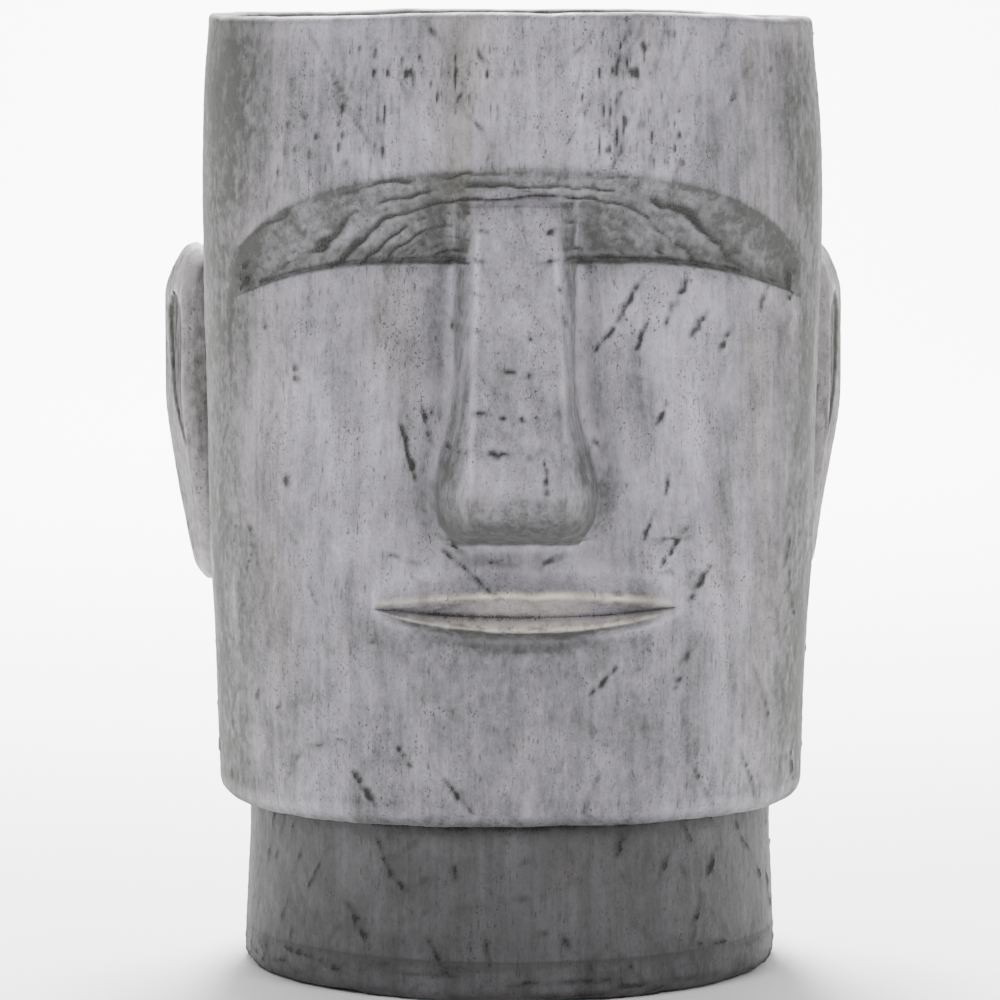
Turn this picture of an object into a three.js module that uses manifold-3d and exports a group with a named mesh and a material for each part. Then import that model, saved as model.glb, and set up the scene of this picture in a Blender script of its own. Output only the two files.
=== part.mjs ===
// A head planter with the look of carved stone: a hollow head with a brow recess, a long nose and
// closed lips, bonded on a round neck, with two bonded ears, a mesh-reinforced lining, and a drain
// with a sleeve and a plug.
// Millimetres, +Z up, the face looks along -Y. The origin is the bottom centre of the bounding box.
import * as THREE from "three";
import { mergeVertices } from "three/addons/utils/BufferGeometryUtils.js";
import { ParametricGeometry } from "three/addons/geometries/ParametricGeometry.js";
import Module from "manifold-3d";

const wasm = await Module();
wasm.setup();

// ---- driving dimensions -------------------------------------------------------------------------
const RIM_Z = 430; // top of the rim, the overall height
const JAW_Z = 78; // underside of the jaw, where the head sits on the neck
const GAP = 0.3; // bond line between touching pieces
const WALL = 11; // cast wall of the head
const LINING = 3; // mesh-reinforced coat inside the walls
const FRONT_POWER = 2.4; // plan roundness of the face side: 2 is an ellipse, higher is boxier
const REAR_POWER = 3.0; // plan roundness of the back

// Outer sections of the head: height, half width, reach to the front, reach to the back.
const HEAD_SECTIONS = [
  [JAW_Z, 131.2, 124, 122],
  [120, 132.4, 126.5, 124],
  [178, 134.2, 126.5, 125],
  [260, 136.4, 125, 126],
  [326, 138.2, 125, 126],
  [389, 137.6, 123, 125],
  [RIM_Z, 134.8, 120, 122],
];
const JAW_ROUND = 7; // radius of the jaw's lower edge
const RIM_ROUND = 4; // radius of the rim's outer edge

const BROW = { half: 125, endZ: 303, rise: 59, lowZ: 324, droop: 20, depth: 17, ledge: 5, ledgeHeight: 2.5 };
const CHEEK_FLUSH_Z = 185; // the cheeks come flush with the head at this height
const NOSE = { topZ: 350, tipZ: 231, bottomZ: 204, topReach: -2, tipReach: 38 };
const NOSE_PLANE = [[231, 20.4], [347, 16.2]]; // half width of the nose's flat front: height, half width
const NOSE_FOOT = [[204, 30], [212, 34], [225, 35.5], [238, 34], [256, 29], [272, 27], [350, 27.5]];
const MOUTH = { half: 65, lineZ: 169.5, cornerZ: 173.4, upperRise: 6, lowerDrop: 10.6, lipReach: 5.5 };
const LIP_FADE = { above: 12, groove: 5, below: 18 }; // how far the lips run out, above and below
const CHIN = { z: 115, height: 26, half: 62, reach: 2.5 };

// The cavity's front stands back behind the carved brow and cheeks, between these heights.
const SETBACK = { depth: 13, startZ: 170, fullZ: 250, easeZ: 345, endZ: 385 };
const LINING_TOP_Z = RIM_Z - 6;
const CAVITY_LEVELS = [400, 370, 345, 300, 250, 210, 170, 100];

const NECK = { radius: 118, footRadius: 120.4, footRound: 6, innerRadius: 104, floorZ: 20 };
const RECESS = { z: 6, radius: 91, footInner: 94 }; // dished underside, inside the foot ring
const SPIGOT = { radius: 107.7, topZ: 88, play: 1, headRoom: 4 }; // lip of the neck that centres the head
const LINING_COVE = 8; // slope between the neck lining's floor and wall
const DRAIN = { sleeveOuter: 12, sleeveInner: 9, flange: 17, flangeHeight: 2 };
const PLUG = { tipRadius: 7.6, seatRadius: 8.6, capRadius: 14, capHeight: 3, loopRadius: 6, loopThick: 1.6 };
const WEEP = { width: 10, height: 4, count: 4 };
const NECK_STEPS = 48; // facets around the neck
const DRAIN_STEPS = 36; // facets around the sleeve and plug

const EAR = {
  frontY: 30, rearY: 84, bottomZ: 167, topZ: 325, // outline on the side of the head
  footX: 148, rearX: 158.5, tipX: 147, fullZ: 288, // how far the rear rim stands out: foot, middle, tip
  lean: 11, innerX: 100, bevel: 5, roundness: 3, taper: 0.3,
};
const CONCHA = { frontY: 44, rearY: 72, bottomZ: 222, topZ: 300, depth: 5, roundness: 2.4, taper: 0.4 };
const OUTLINE_STEPS = 36; // points around an ear's outline

// ---- small helpers ------------------------------------------------------------------------------
const lerp = THREE.MathUtils.lerp;
const clamp = THREE.MathUtils.clamp;
const smooth = (low, high, x) => THREE.MathUtils.smoothstep(x, low, high);

// Radius of a rounded square of this power in the direction whose cosine and sine are c and s.
const superRadius = (c, s, power) => Math.pow(Math.abs(c) ** power + Math.abs(s) ** power, -1 / power);

// Values at a key from rows of [key, a, b, ...], straight between rows.
function between(rows, key) {
  const last = rows.length - 1;
  if (key <= rows[0][0]) return rows[0].slice(1);
  if (key >= rows[last][0]) return rows[last].slice(1);
  const i = rows.findIndex((row) => row[0] >= key);
  const share = (key - rows[i - 1][0]) / (rows[i][0] - rows[i - 1][0]);
  return rows[i].slice(1).map((value, k) => lerp(rows[i - 1][k + 1], value, share));
}

// ---- the face, as a relief standing forward of the plain head -----------------------------------
const browTop = (x) => BROW.endZ + BROW.rise * Math.pow(1 - Math.pow(Math.abs(x) / BROW.half, 2.5), 0.4);
const browLow = (x) => BROW.lowZ - BROW.droop * Math.pow(Math.abs(x) / BROW.half, 4);

function browAndCheeks(x, z) {
  const share = Math.abs(x) / BROW.half;
  if (share >= 1) return 0;
  const fade = 1 - Math.pow(share, 4);
  const top = browTop(x);
  const low = browLow(x);
  if (z >= top) return 0;
  if (z >= low) return -BROW.depth * fade * Math.pow(1 - (z - low) / (top - low), 0.9);
  const plane = clamp((z - CHEEK_FLUSH_Z) / (low - CHEEK_FLUSH_Z), 0, 1);
  const ledge = BROW.ledge * smooth(low - BROW.ledgeHeight, low, z);
  return -fade * ((BROW.depth - BROW.ledge) * plane + ledge);
}

function noseReach(z) {
  if (z >= NOSE.tipZ) {
    return lerp(NOSE.topReach, NOSE.tipReach, (NOSE.topZ - z) / (NOSE.topZ - NOSE.tipZ));
  }
  const under = (NOSE.tipZ - z) / (NOSE.tipZ - NOSE.bottomZ);
  return NOSE.tipReach * Math.sqrt(Math.max(0, 1 - under * under));
}

function withNose(x, z, ground) {
  if (z > NOSE.topZ || z < NOSE.bottomZ) return ground;
  const [plane] = between(NOSE_PLANE, z);
  const [foot] = between(NOSE_FOOT, z);
  const side = clamp((Math.abs(x) - plane) / (foot - plane), 0, 1);
  const reach = Math.max(noseReach(z), ground);
  return lerp(reach, ground, side * side * (2 - side));
}

// The mouth's three edges across the face, from the share of its half width that is left to the corner.
const mouthSwell = (x) => Math.max(0, 1 - (x / MOUTH.half) ** 2);
const lipLine = (x) => lerp(MOUTH.cornerZ, MOUTH.lineZ, mouthSwell(x));
const lipTop = (x) => MOUTH.cornerZ + MOUTH.upperRise * Math.pow(mouthSwell(x), 0.7);
const lipLow = (x) => MOUTH.cornerZ - MOUTH.lowerDrop * Math.pow(mouthSwell(x), 0.8);

function lips(x, z) {
  const swell = mouthSwell(x);
  if (swell === 0) return 0;
  const upper = lipTop(x);
  const line = lipLine(x);
  const lower = lipLow(x);
  const reach = MOUTH.lipReach * Math.pow(swell, 0.4);
  if (z >= upper) return reach * (1 - smooth(upper, upper + LIP_FADE.above, z));
  if (z >= line) return reach * ((1.6 * (z - line)) / (upper - line) - 0.6);
  if (z >= lower) return reach * (1.4 * Math.min(1, (2 * (line - z)) / (line - lower)) - 0.6);
  const below = lower - z;
  const groove = 0.8 - 1.2 * smooth(0, LIP_FADE.groove, below);
  return reach * groove * (1 - smooth(LIP_FADE.groove, LIP_FADE.below, below));
}

function chin(x, z) {
  return CHIN.reach * Math.exp(-(((z - CHIN.z) / CHIN.height) ** 2) - (x / CHIN.half) ** 2);
}

const relief = (x, z) => withNose(x, z, browAndCheeks(x, z)) + lips(x, z) + chin(x, z);

// ---- columns: places around the head ------------------------------------------------------------
// A face column is a share of the head's half width, and a back column is an angle from +X.
const FACE_BANDS = [
  { upTo: 0.135, steps: 3 }, // half the nose's flat front
  { upTo: 0.235, steps: 4 }, // the nose's side
  { upTo: 0.5, steps: 6 }, // the cheek, to past the corner of the mouth
];
const SIDE_STEPS = 10; // from there round to the head's widest place
const BACK_STEPS = 20;
const faceShares = [0];
for (const band of FACE_BANDS) {
  const from = faceShares[faceShares.length - 1];
  for (let i = 1; i <= band.steps; i++) faceShares.push(lerp(from, band.upTo, i / band.steps));
}
const bandEnd = faceShares[faceShares.length - 1];
for (let i = 1; i <= SIDE_STEPS; i++) {
  faceShares.push(lerp(bandEnd, 1, Math.sin((i / SIDE_STEPS) * (Math.PI / 2))));
}
const columns = [
  ...faceShares.slice(1).reverse().map((share) => ({ share: -share })),
  ...faceShares.map((share) => ({ share })),
];
for (let i = 1; i < BACK_STEPS; i++) columns.push({ angle: (Math.PI * i) / BACK_STEPS });

const faceDepth = (share) => Math.pow(Math.max(0, 1 - Math.abs(share) ** FRONT_POWER), 1 / FRONT_POWER);

// A point of a level plan outline with this half width and these reaches.
function planPoint(column, half, front, rear) {
  if (column.angle === undefined) return [half * column.share, -front * faceDepth(column.share)];
  const c = Math.cos(column.angle);
  const s = Math.sin(column.angle);
  const radius = superRadius(c, s, REAR_POWER);
  return [half * c * radius, rear * s * radius];
}

// Face columns bend to run along the edge of the nose's flat front and along its foot.
function faceX(share, half, z) {
  const [noseEdge, noseFoot, free] = FACE_BANDS;
  const places = [
    [0, 0],
    [noseEdge.upTo, ...between(NOSE_PLANE, z)],
    [noseFoot.upTo, ...between(NOSE_FOOT, z)],
    [free.upTo, half * free.upTo],
    [1, half],
  ];
  return Math.sign(share) * between(places, Math.abs(share))[0];
}

// ---- rows: a row gives a point for each column --------------------------------------------------
const levelRow = (z, half, front, rear) => (column) => [...planPoint(column, half, front, rear), z];

function roundRow(z, radius) {
  return (column) => {
    const angle = column.angle ?? -Math.acos(column.share);
    return [radius * Math.cos(angle), radius * Math.sin(angle), z];
  };
}

function insetRow(z, inset) {
  return levelRow(z, ...between(HEAD_SECTIONS, z).map((reach) => reach - inset));
}

// A row that is level at z round the back and follows a curve across the face, carved with the relief.
function faceRow(z, curve) {
  const [widest] = between(HEAD_SECTIONS, z);
  return (column) => {
    if (column.angle !== undefined) return insetRow(z, 0)(column);
    const height = curve(column.share * widest);
    const [half, front] = between(HEAD_SECTIONS, height);
    const x = faceX(column.share, half, height);
    return [x, -front * faceDepth(x / half) - relief(x, height), height];
  };
}

// A curve keeps to a feature's edge as far as the feature reaches, then runs out to its level at the side.
const FACE_EDGE = 130;
function following(edge, reach, z) {
  return (x) => {
    const side = Math.abs(x);
    return lerp(edge(Math.min(side, reach)), z, smooth(reach, FACE_EDGE, side));
  };
}
const level = (z) => () => z;

// The lines that the face's rows keep to, from the jaw up, each with the steps to the next one.
const BROW_REACH = 0.96 * BROW.half;
const MOUTH_REACH = 0.9 * MOUTH.half;
const LIP_ABOVE_Z = MOUTH.cornerZ + MOUTH.upperRise + LIP_FADE.above;
const FACE_LINES = [
  { z: JAW_Z + JAW_ROUND, steps: 5 },
  { z: MOUTH.cornerZ - 24, steps: 3 },
  { z: MOUTH.cornerZ - 12, edge: (x) => lipLow(x) - LIP_FADE.groove, reach: MOUTH_REACH, steps: 2 },
  { z: MOUTH.cornerZ - 8, edge: lipLow, reach: MOUTH_REACH, steps: 3 },
  { z: MOUTH.cornerZ - 1, edge: lipLine, reach: MOUTH_REACH, steps: 2 },
  { z: MOUTH.cornerZ + 6, edge: lipTop, reach: MOUTH_REACH, steps: 3 },
  { z: LIP_ABOVE_Z, steps: 2 },
  { z: NOSE.bottomZ, steps: 1 },
  { z: NOSE.bottomZ + 2, steps: 5 },
  { z: NOSE.tipZ, steps: 6 },
  { z: 290, edge: (x) => browLow(x) - BROW.ledgeHeight, reach: BROW_REACH, steps: 1 },
  { z: 297, edge: browLow, reach: BROW_REACH, steps: 7 },
  { z: 350, edge: browTop, reach: BROW_REACH, steps: 2 },
  { z: BROW.endZ + BROW.rise + 14, steps: 4 },
  { z: RIM_Z - RIM_ROUND, steps: 0 },
];

function faceRows() {
  const rows = [];
  FACE_LINES.slice(0, -1).forEach((low, i) => {
    const high = FACE_LINES[i + 1];
    const lowCurve = low.edge ? following(low.edge, low.reach, low.z) : level(low.z);
    const highCurve = high.edge ? following(high.edge, high.reach, high.z) : level(high.z);
    for (let step = 0; step < low.steps; step++) {
      const t = step / low.steps;
      rows.push(faceRow(lerp(low.z, high.z, t), (x) => lerp(lowCurve(x), highCurve(x), t)));
    }
  });
  return rows;
}

// The inside of the head's wall, or a surface that stands a further offset inside it.
function cavityRow(z, offset) {
  const [half, front, rear] = between(HEAD_SECTIONS, z).map((reach) => reach - WALL - offset);
  const open = smooth(SETBACK.easeZ, SETBACK.endZ, z);
  const setback = SETBACK.depth * smooth(SETBACK.startZ, SETBACK.fullZ, z) * (1 - open);
  return levelRow(z, half, front - setback, rear);
}

// A closed ring of material: its rows go round the section, and the last row joins the first.
function ringSolid(rows) {
  return new ParametricGeometry(
    (u, v, target) => {
      const column = columns[Math.round(u * columns.length) % columns.length];
      const row = rows[Math.round(v * rows.length) % rows.length];
      target.set(...row(column));
    },
    columns.length,
    rows.length,
  );
}

// ---- head shell and its lining ------------------------------------------------------------------
const EDGE_ANGLES = [0, Math.PI / 6, Math.PI / 3];

function headShell() {
  const seatRadius = SPIGOT.radius + SPIGOT.play;
  const edgeRow = (edgeZ, round, angle) =>
    insetRow(edgeZ + round * (1 - Math.cos(angle)), Math.abs(round) * (1 - Math.sin(angle)));
  const jaw = (angle) => edgeRow(JAW_Z, JAW_ROUND, angle);
  const rim = (angle) => edgeRow(RIM_Z, -RIM_ROUND, angle);
  return ringSolid([
    roundRow(JAW_Z, seatRadius),
    ...EDGE_ANGLES.map(jaw),
    ...faceRows(),
    insetRow(RIM_Z - RIM_ROUND, 0),
    ...EDGE_ANGLES.slice().reverse().map(rim),
    cavityRow(RIM_Z, 0),
    ...CAVITY_LEVELS.map((z) => cavityRow(z, 0)),
    roundRow(SPIGOT.topZ + SPIGOT.headRoom, seatRadius),
  ]);
}

function headLining() {
  const levels = [LINING_TOP_Z, ...CAVITY_LEVELS];
  const outer = levels.map((z) => cavityRow(z, GAP)).reverse();
  const inner = levels.map((z) => cavityRow(z, GAP + LINING));
  return ringSolid([...outer, ...inner]);
}

// ---- turned pieces ------------------------------------------------------------------------------
// A solid turned about Z from [radius, z] points that run anticlockwise and close on themselves.
function turned(points, steps) {
  const closed = [...points, points[0]].map(([radius, z]) => new THREE.Vector2(radius, z));
  return new THREE.LatheGeometry(closed, steps).rotateX(Math.PI / 2);
}

const sleeveHole = DRAIN.sleeveOuter + GAP;
const flangeHole = DRAIN.flange + GAP;
const liningFloorZ = NECK.floorZ + GAP; // underside of the lining, and of the sleeve's flange sunk in it
const plugSeatZ = liningFloorZ + DRAIN.flangeHeight + GAP;

function neckBlank() {
  const footEdge = (angle) => [
    NECK.footRadius - NECK.footRound * (1 - Math.sin(angle)),
    NECK.footRound * (1 - Math.cos(angle)),
  ];
  const waist = lerp(NECK.footRadius, NECK.radius, 0.5);
  return turned([
    [sleeveHole, RECESS.z],
    [RECESS.radius, RECESS.z],
    [RECESS.footInner, 0],
    ...EDGE_ANGLES.map(footEdge),
    [NECK.footRadius, NECK.footRound],
    [NECK.footRadius, 2 * NECK.footRound],
    [waist, NECK.footRound + NECK.floorZ],
    [NECK.radius, JAW_Z - NECK.floorZ],
    [NECK.radius, JAW_Z - GAP],
    [SPIGOT.radius, JAW_Z - GAP],
    [SPIGOT.radius, SPIGOT.topZ],
    [NECK.innerRadius, SPIGOT.topZ],
    [NECK.innerRadius, NECK.floorZ],
    [sleeveHole, NECK.floorZ],
  ], NECK_STEPS);
}

function neckLining() {
  const outer = NECK.innerRadius - GAP;
  const inner = outer - LINING;
  const floorTop = liningFloorZ + LINING;
  return turned([
    [flangeHole, liningFloorZ],
    [outer, liningFloorZ],
    [outer, SPIGOT.topZ],
    [inner, SPIGOT.topZ],
    [inner, floorTop + LINING_COVE],
    [inner - LINING_COVE, floorTop],
    [flangeHole, floorTop],
  ], NECK_STEPS);
}

function drainSleeve() {
  return turned([
    [DRAIN.sleeveInner, RECESS.z],
    [DRAIN.sleeveOuter, RECESS.z],
    [DRAIN.sleeveOuter, liningFloorZ],
    [DRAIN.flange, liningFloorZ],
    [DRAIN.flange, liningFloorZ + DRAIN.flangeHeight],
    [DRAIN.sleeveInner, liningFloorZ + DRAIN.flangeHeight],
  ], DRAIN_STEPS);
}

// ---- booleans -----------------------------------------------------------------------------------
function toSolid(geometry) {
  const bare = new THREE.BufferGeometry().setAttribute("position", geometry.getAttribute("position"));
  bare.setIndex(geometry.index);
  const merged = mergeVertices(bare, 1e-3);
  const mesh = new wasm.Mesh({
    numProp: 3,
    vertProperties: merged.attributes.position.array,
    triVerts: new Uint32Array(merged.index.array),
  });
  return new wasm.Manifold(mesh);
}

function toGeometry(solid) {
  const mesh = solid.getMesh();
  return new THREE.BufferGeometry()
    .setAttribute("position", new THREE.BufferAttribute(mesh.vertProperties, 3))
    .setIndex(new THREE.BufferAttribute(mesh.triVerts, 1));
}

// ---- neck base: notches in the rear of the foot ring let the drained water out ------------------
function neckBase() {
  let neck = toSolid(neckBlank());
  const ringMiddle = (RECESS.footInner + NECK.footRadius) / 2;
  const length = 2 * (NECK.footRadius - RECESS.footInner);
  for (let i = 0; i < WEEP.count; i++) {
    const angle = ((i + 0.5) / WEEP.count) * Math.PI;
    const notch = new THREE.BoxGeometry(length, WEEP.width, 2 * WEEP.height);
    notch.translate(ringMiddle, 0, 0).rotateZ(angle);
    neck = neck.subtract(toSolid(notch));
  }
  return toGeometry(neck);
}

// ---- drain plug: a tapered stem, a cap that rests on the sleeve, and a loop to pull it by -------
function drainPlug() {
  const capTopZ = plugSeatZ + PLUG.capHeight;
  const body = turned([
    [0, RECESS.z + 1],
    [PLUG.tipRadius, RECESS.z + 1],
    [PLUG.seatRadius, plugSeatZ],
    [PLUG.capRadius, plugSeatZ],
    [PLUG.capRadius, capTopZ - 1],
    [PLUG.capRadius - 1.5, capTopZ],
    [0, capTopZ],
  ], DRAIN_STEPS);
  const loop = new THREE.TorusGeometry(PLUG.loopRadius, PLUG.loopThick, 10, 24);
  loop.rotateX(Math.PI / 2).translate(0, 0, capTopZ + PLUG.loopRadius - 1);
  return toGeometry(toSolid(body).add(toSolid(loop)));
}

// ---- ears ---------------------------------------------------------------------------------------
// How far the ear's outer face stands from the middle of the head, at a place on the side of the head.
function earFace(y, z) {
  const back = clamp((y - EAR.frontY) / (EAR.rearY - EAR.frontY), 0, 1);
  const low = lerp(EAR.footX, EAR.rearX, smooth(EAR.bottomZ, EAR.fullZ - 30, z));
  const rear = lerp(low, EAR.tipX, smooth(EAR.fullZ, EAR.topZ + 12, z));
  return rear - EAR.lean * (1 - back);
}

// A rounded outline between these edges, narrower towards its foot.
function earOutline(edges) {
  const shape = new THREE.Shape();
  for (let i = 0; i < OUTLINE_STEPS; i++) {
    const angle = (i / OUTLINE_STEPS) * Math.PI * 2;
    const c = Math.cos(angle);
    const s = Math.sin(angle);
    const radius = superRadius(c, s, edges.roundness);
    const rise = 0.5 + 0.5 * s * radius;
    const narrow = 1 - edges.taper * (1 - rise);
    const y = lerp(edges.frontY, edges.rearY, 0.5 + 0.5 * c * radius * narrow);
    const z = lerp(edges.bottomZ, edges.topZ, rise);
    if (i === 0) shape.moveTo(y, z);
    else shape.lineTo(y, z);
  }
  return shape;
}

// The outline extruded sideways between two surfaces, with a bevel round its outer one.
function earBlock(edges, innerX, outerX, bevel) {
  const bevelThickness = 0.2;
  const block = new THREE.ExtrudeGeometry(earOutline(edges), {
    depth: 1, steps: 1, bevelEnabled: bevel > 0, bevelThickness, bevelSize: bevel, bevelOffset: -bevel,
    bevelSegments: 3,
  });
  const at = block.getAttribute("position");
  for (let i = 0; i < at.count; i++) {
    const y = at.getX(i);
    const z = at.getY(i);
    const overBevel = clamp((at.getZ(i) - 1) / bevelThickness, 0, 1);
    const edge = bevel * (1 - overBevel);
    at.setXYZ(i, at.getZ(i) > 0.5 ? outerX(y, z) - edge : innerX(y, z), y, z);
  }
  return toSolid(block);
}

function rightEar() {
  const blank = earBlock(EAR, () => EAR.innerX, earFace, EAR.bevel);
  const conchaFloor = (y, z) => earFace(y, z) - CONCHA.depth;
  const outside = (y, z) => earFace(y, z) + EAR.bevel;
  const concha = earBlock(CONCHA, conchaFloor, outside, 0);
  const lowZ = EAR.bottomZ - JAW_ROUND;
  const highZ = EAR.topZ + JAW_ROUND;
  const middle = HEAD_SECTIONS.map(([z]) => z).filter((z) => z > lowZ && z < highZ);
  const side = [lowZ, ...middle, highZ].map((z) => insetRow(z, -GAP));
  const head = toSolid(ringSolid([...side, roundRow(highZ, EAR.bevel), roundRow(lowZ, EAR.bevel)]));
  return blank.subtract(head).subtract(concha);
}

// ---- assembly -----------------------------------------------------------------------------------
const stoneGrey = new THREE.MeshStandardMaterial({ color: 0x9c9b9e, roughness: 0.85, metalness: 0 });
const neckGrey = new THREE.MeshStandardMaterial({ color: 0x7d7c7d, roughness: 0.88, metalness: 0 });
const liningGrey = new THREE.MeshStandardMaterial({ color: 0xa7a59f, roughness: 0.95, metalness: 0 });
const sleeveWhite = new THREE.MeshStandardMaterial({ color: 0xc9c9c4, roughness: 0.5, metalness: 0 });
const plugBlack = new THREE.MeshStandardMaterial({ color: 0x1b1b1c, roughness: 0.7, metalness: 0 });

function named(name, geometry, material) {
  const mesh = new THREE.Mesh(geometry, material);
  mesh.name = name;
  return mesh;
}

const model = new THREE.Group();
const ear = rightEar();
model.add(
  named("head_shell", headShell(), stoneGrey),
  named("head_lining", headLining(), liningGrey),
  named("right_ear", toGeometry(ear), stoneGrey),
  named("left_ear", toGeometry(ear.mirror([1, 0, 0])), stoneGrey),
  named("neck_base", neckBase(), neckGrey),
  named("neck_lining", neckLining(), liningGrey),
  named("drain_sleeve", drainSleeve(), sleeveWhite),
  named("drain_plug", drainPlug(), plugBlack),
);

// The nose reaches further forward than the back does behind, so the head is moved back to centre its box.
const bounds = new THREE.Box3().setFromObject(model);
model.position.y = -(bounds.min.y + bounds.max.y) / 2;

export default model;
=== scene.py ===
import itertools
import math

import bpy
import numpy as np
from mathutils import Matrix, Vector


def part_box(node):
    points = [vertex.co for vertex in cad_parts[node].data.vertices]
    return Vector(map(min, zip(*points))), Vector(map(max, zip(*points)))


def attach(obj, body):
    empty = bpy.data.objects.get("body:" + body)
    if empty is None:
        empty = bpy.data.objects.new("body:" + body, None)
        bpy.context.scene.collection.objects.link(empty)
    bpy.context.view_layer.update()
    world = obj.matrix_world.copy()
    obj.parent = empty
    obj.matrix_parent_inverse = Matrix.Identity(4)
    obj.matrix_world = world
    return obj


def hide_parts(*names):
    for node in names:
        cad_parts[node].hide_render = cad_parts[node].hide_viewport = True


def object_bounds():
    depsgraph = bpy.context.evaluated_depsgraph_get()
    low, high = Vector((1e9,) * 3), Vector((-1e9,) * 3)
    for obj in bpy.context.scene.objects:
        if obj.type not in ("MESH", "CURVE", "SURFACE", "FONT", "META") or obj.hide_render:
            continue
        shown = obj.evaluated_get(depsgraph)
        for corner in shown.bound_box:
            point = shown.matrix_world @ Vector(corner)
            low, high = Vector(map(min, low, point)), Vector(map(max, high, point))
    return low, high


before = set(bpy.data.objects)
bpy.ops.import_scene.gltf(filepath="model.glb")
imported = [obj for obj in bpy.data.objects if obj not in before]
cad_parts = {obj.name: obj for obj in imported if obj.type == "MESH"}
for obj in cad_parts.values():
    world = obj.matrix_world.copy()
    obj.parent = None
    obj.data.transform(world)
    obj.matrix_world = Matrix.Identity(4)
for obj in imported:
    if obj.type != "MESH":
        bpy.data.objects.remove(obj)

cad_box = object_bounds()
MM = 0.001

# ---- measures taken from the frame ---------------------------------------------------------------
head_low, head_high = (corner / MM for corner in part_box("head_shell"))
neck_low, neck_high = (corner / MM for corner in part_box("neck_base"))
ear_low, ear_high = (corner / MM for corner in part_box("right_ear"))
AXIS_Y = (neck_low.y + neck_high.y) / 2  # the neck's own axis, which all plans are drawn round
JAW = head_low.z
RIM = head_high.z
HALF = head_high.x  # half the head's width at its widest
NOSE_PROUD = 38  # how far the nose's tip stands out of the face
SEAT_RADIUS = 108.7  # the hole in the head's floor that takes the neck's spigot
FRONT = AXIS_Y - head_low.y - NOSE_PROUD + 1  # reach of the face's plain surface at its fullest
REAR = head_high.y - AXIS_Y


def up(height):
    """A height above the jaw's underside, where the head sits on the neck."""
    return JAW + height


# ---- small helpers -------------------------------------------------------------------------------
def lerp(a, b, t):
    return a + (b - a) * t


def smooth(low, high, x):
    t = np.clip((x - low) / (high - low), 0.0, 1.0)
    return t * t * (3.0 - 2.0 * t)


def between(x, low, full, fading, high):
    """1 from full to fading, eased from 0 at low and back to 0 at high."""
    return smooth(low, full, x) * (1.0 - smooth(fading, high, x))


def bell(x, middle, width):
    return np.exp(-(((x - middle) / width) ** 2))


def eased(x, places, values, soft=4.0):
    """Values between places, with the corners rounded over a distance of soft each way."""
    offsets = np.linspace(-soft, soft, 7)
    return sum(np.interp(x + offset, places, values) for offset in offsets) / len(offsets)


NO_CUT = -2.0  # the value of a cut, in millimetres inside it, well away from one
CELLS = 32
LATTICE = np.random.default_rng(11).uniform(-1.0, 1.0, (CELLS, CELLS, CELLS))


def noise(x, y, z, seed):
    """Smooth noise from -1 to 1 with cells one unit wide. Each seed reads another part of the lattice."""
    axes = []
    for value, offset in zip((x, y, z), (7.31 * seed, 3.77 * seed, 5.13 * seed)):
        place = np.asarray(value, float) + offset
        whole = np.floor(place)
        part = place - whole
        axes.append((whole.astype(int), part ** 3 * (part * (part * 6.0 - 15.0) + 10.0)))
    total = 0.0
    for corner in itertools.product((0, 1), repeat=3):
        weight = 1.0
        index = []
        for (whole, ease), side in zip(axes, corner):
            weight = weight * (ease if side else 1.0 - ease)
            index.append((whole + side) % CELLS)
        total = total + weight * LATTICE[tuple(index)]
    return total


def fractal(x, y, z, seed, octaves=3):
    """Noise with finer and weaker noise added on top."""
    total = 0.0
    for octave in range(octaves):
        scale = 2.0 ** octave
        total = total + noise(x * scale, y * scale, z * scale, seed + 13 * octave) / scale
    return total / 1.5


# ---- the form of the head ------------------------------------------------------------------------
# Plan of the head at some heights: what is taken off its widest half width, front reach and rear reach.
SECTION_UP = [up(h) for h in (0, 42, 100, 182, 248, 311, 352)]
SIDE_IN = [7.0, 5.8, 4.0, 1.8, 0.0, 0.6, 3.4]
FRONT_IN = [2.5, 0.0, 0.0, 1.5, 1.5, 3.5, 6.5]
REAR_IN = [4.8, 2.8, 1.8, 0.8, 0.8, 1.8, 4.8]
FRONT_POWER = 2.4  # plan roundness of the face side: 2 is an ellipse, higher is boxier
REAR_POWER = 3.0
JAW_ROUND = 7.0
RIM_ROUND = 3.0
WALL = 11.0
LINING = 3.0
GAP = 0.3

BROW_HALF = 125.0
BROW_END = up(225)
BROW_RISE = 59.0
BROW_LOW = up(246)
BROW_DROOP = 20.0
BROW_DEPTH = 17.0
LEDGE = 4.0
LEDGE_HEIGHT = 2.0
CHEEK_FLUSH = up(107)

NOSE_TOP = up(271)
NOSE_TIP = up(149)
NOSE_BOTTOM = up(126)
NOSE_TOP_REACH = -2.0
NOSE_X = -1.5  # the hand-cut nose and mouth sit a little to either side
# Half widths of the nose's flat front and of its foot at some heights.
NOSE_EDGE = ([up(149), up(269)], [20.4, 16.2])
NOSE_FOOT_UP = [up(h) for h in (126, 128, 131, 136, 147, 160, 178, 194, 272)]
NOSE_FOOT = (NOSE_FOOT_UP, [27, 30, 32.5, 34.5, 35.5, 34, 29, 27, 27.5])
NOSE_RINGS = [up(h) for h in (259, 246, 232, 215, 199.5, 181.5, 166)]  # growth rings cut by its front

MOUTH_X = 2.8
MOUTH_HALF = 65.0
MOUTH_CORNER = up(95.4)
MOUTH_LINE = up(91.5)
LIP_RISE = 6.0
LIP_DROP = 9.4
LIP_REACH = 5.5
LIP_ABOVE = 12.0
LIP_GROOVE = 5.0
LIP_BELOW = 18.0
CHIN_UP = up(37)


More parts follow.
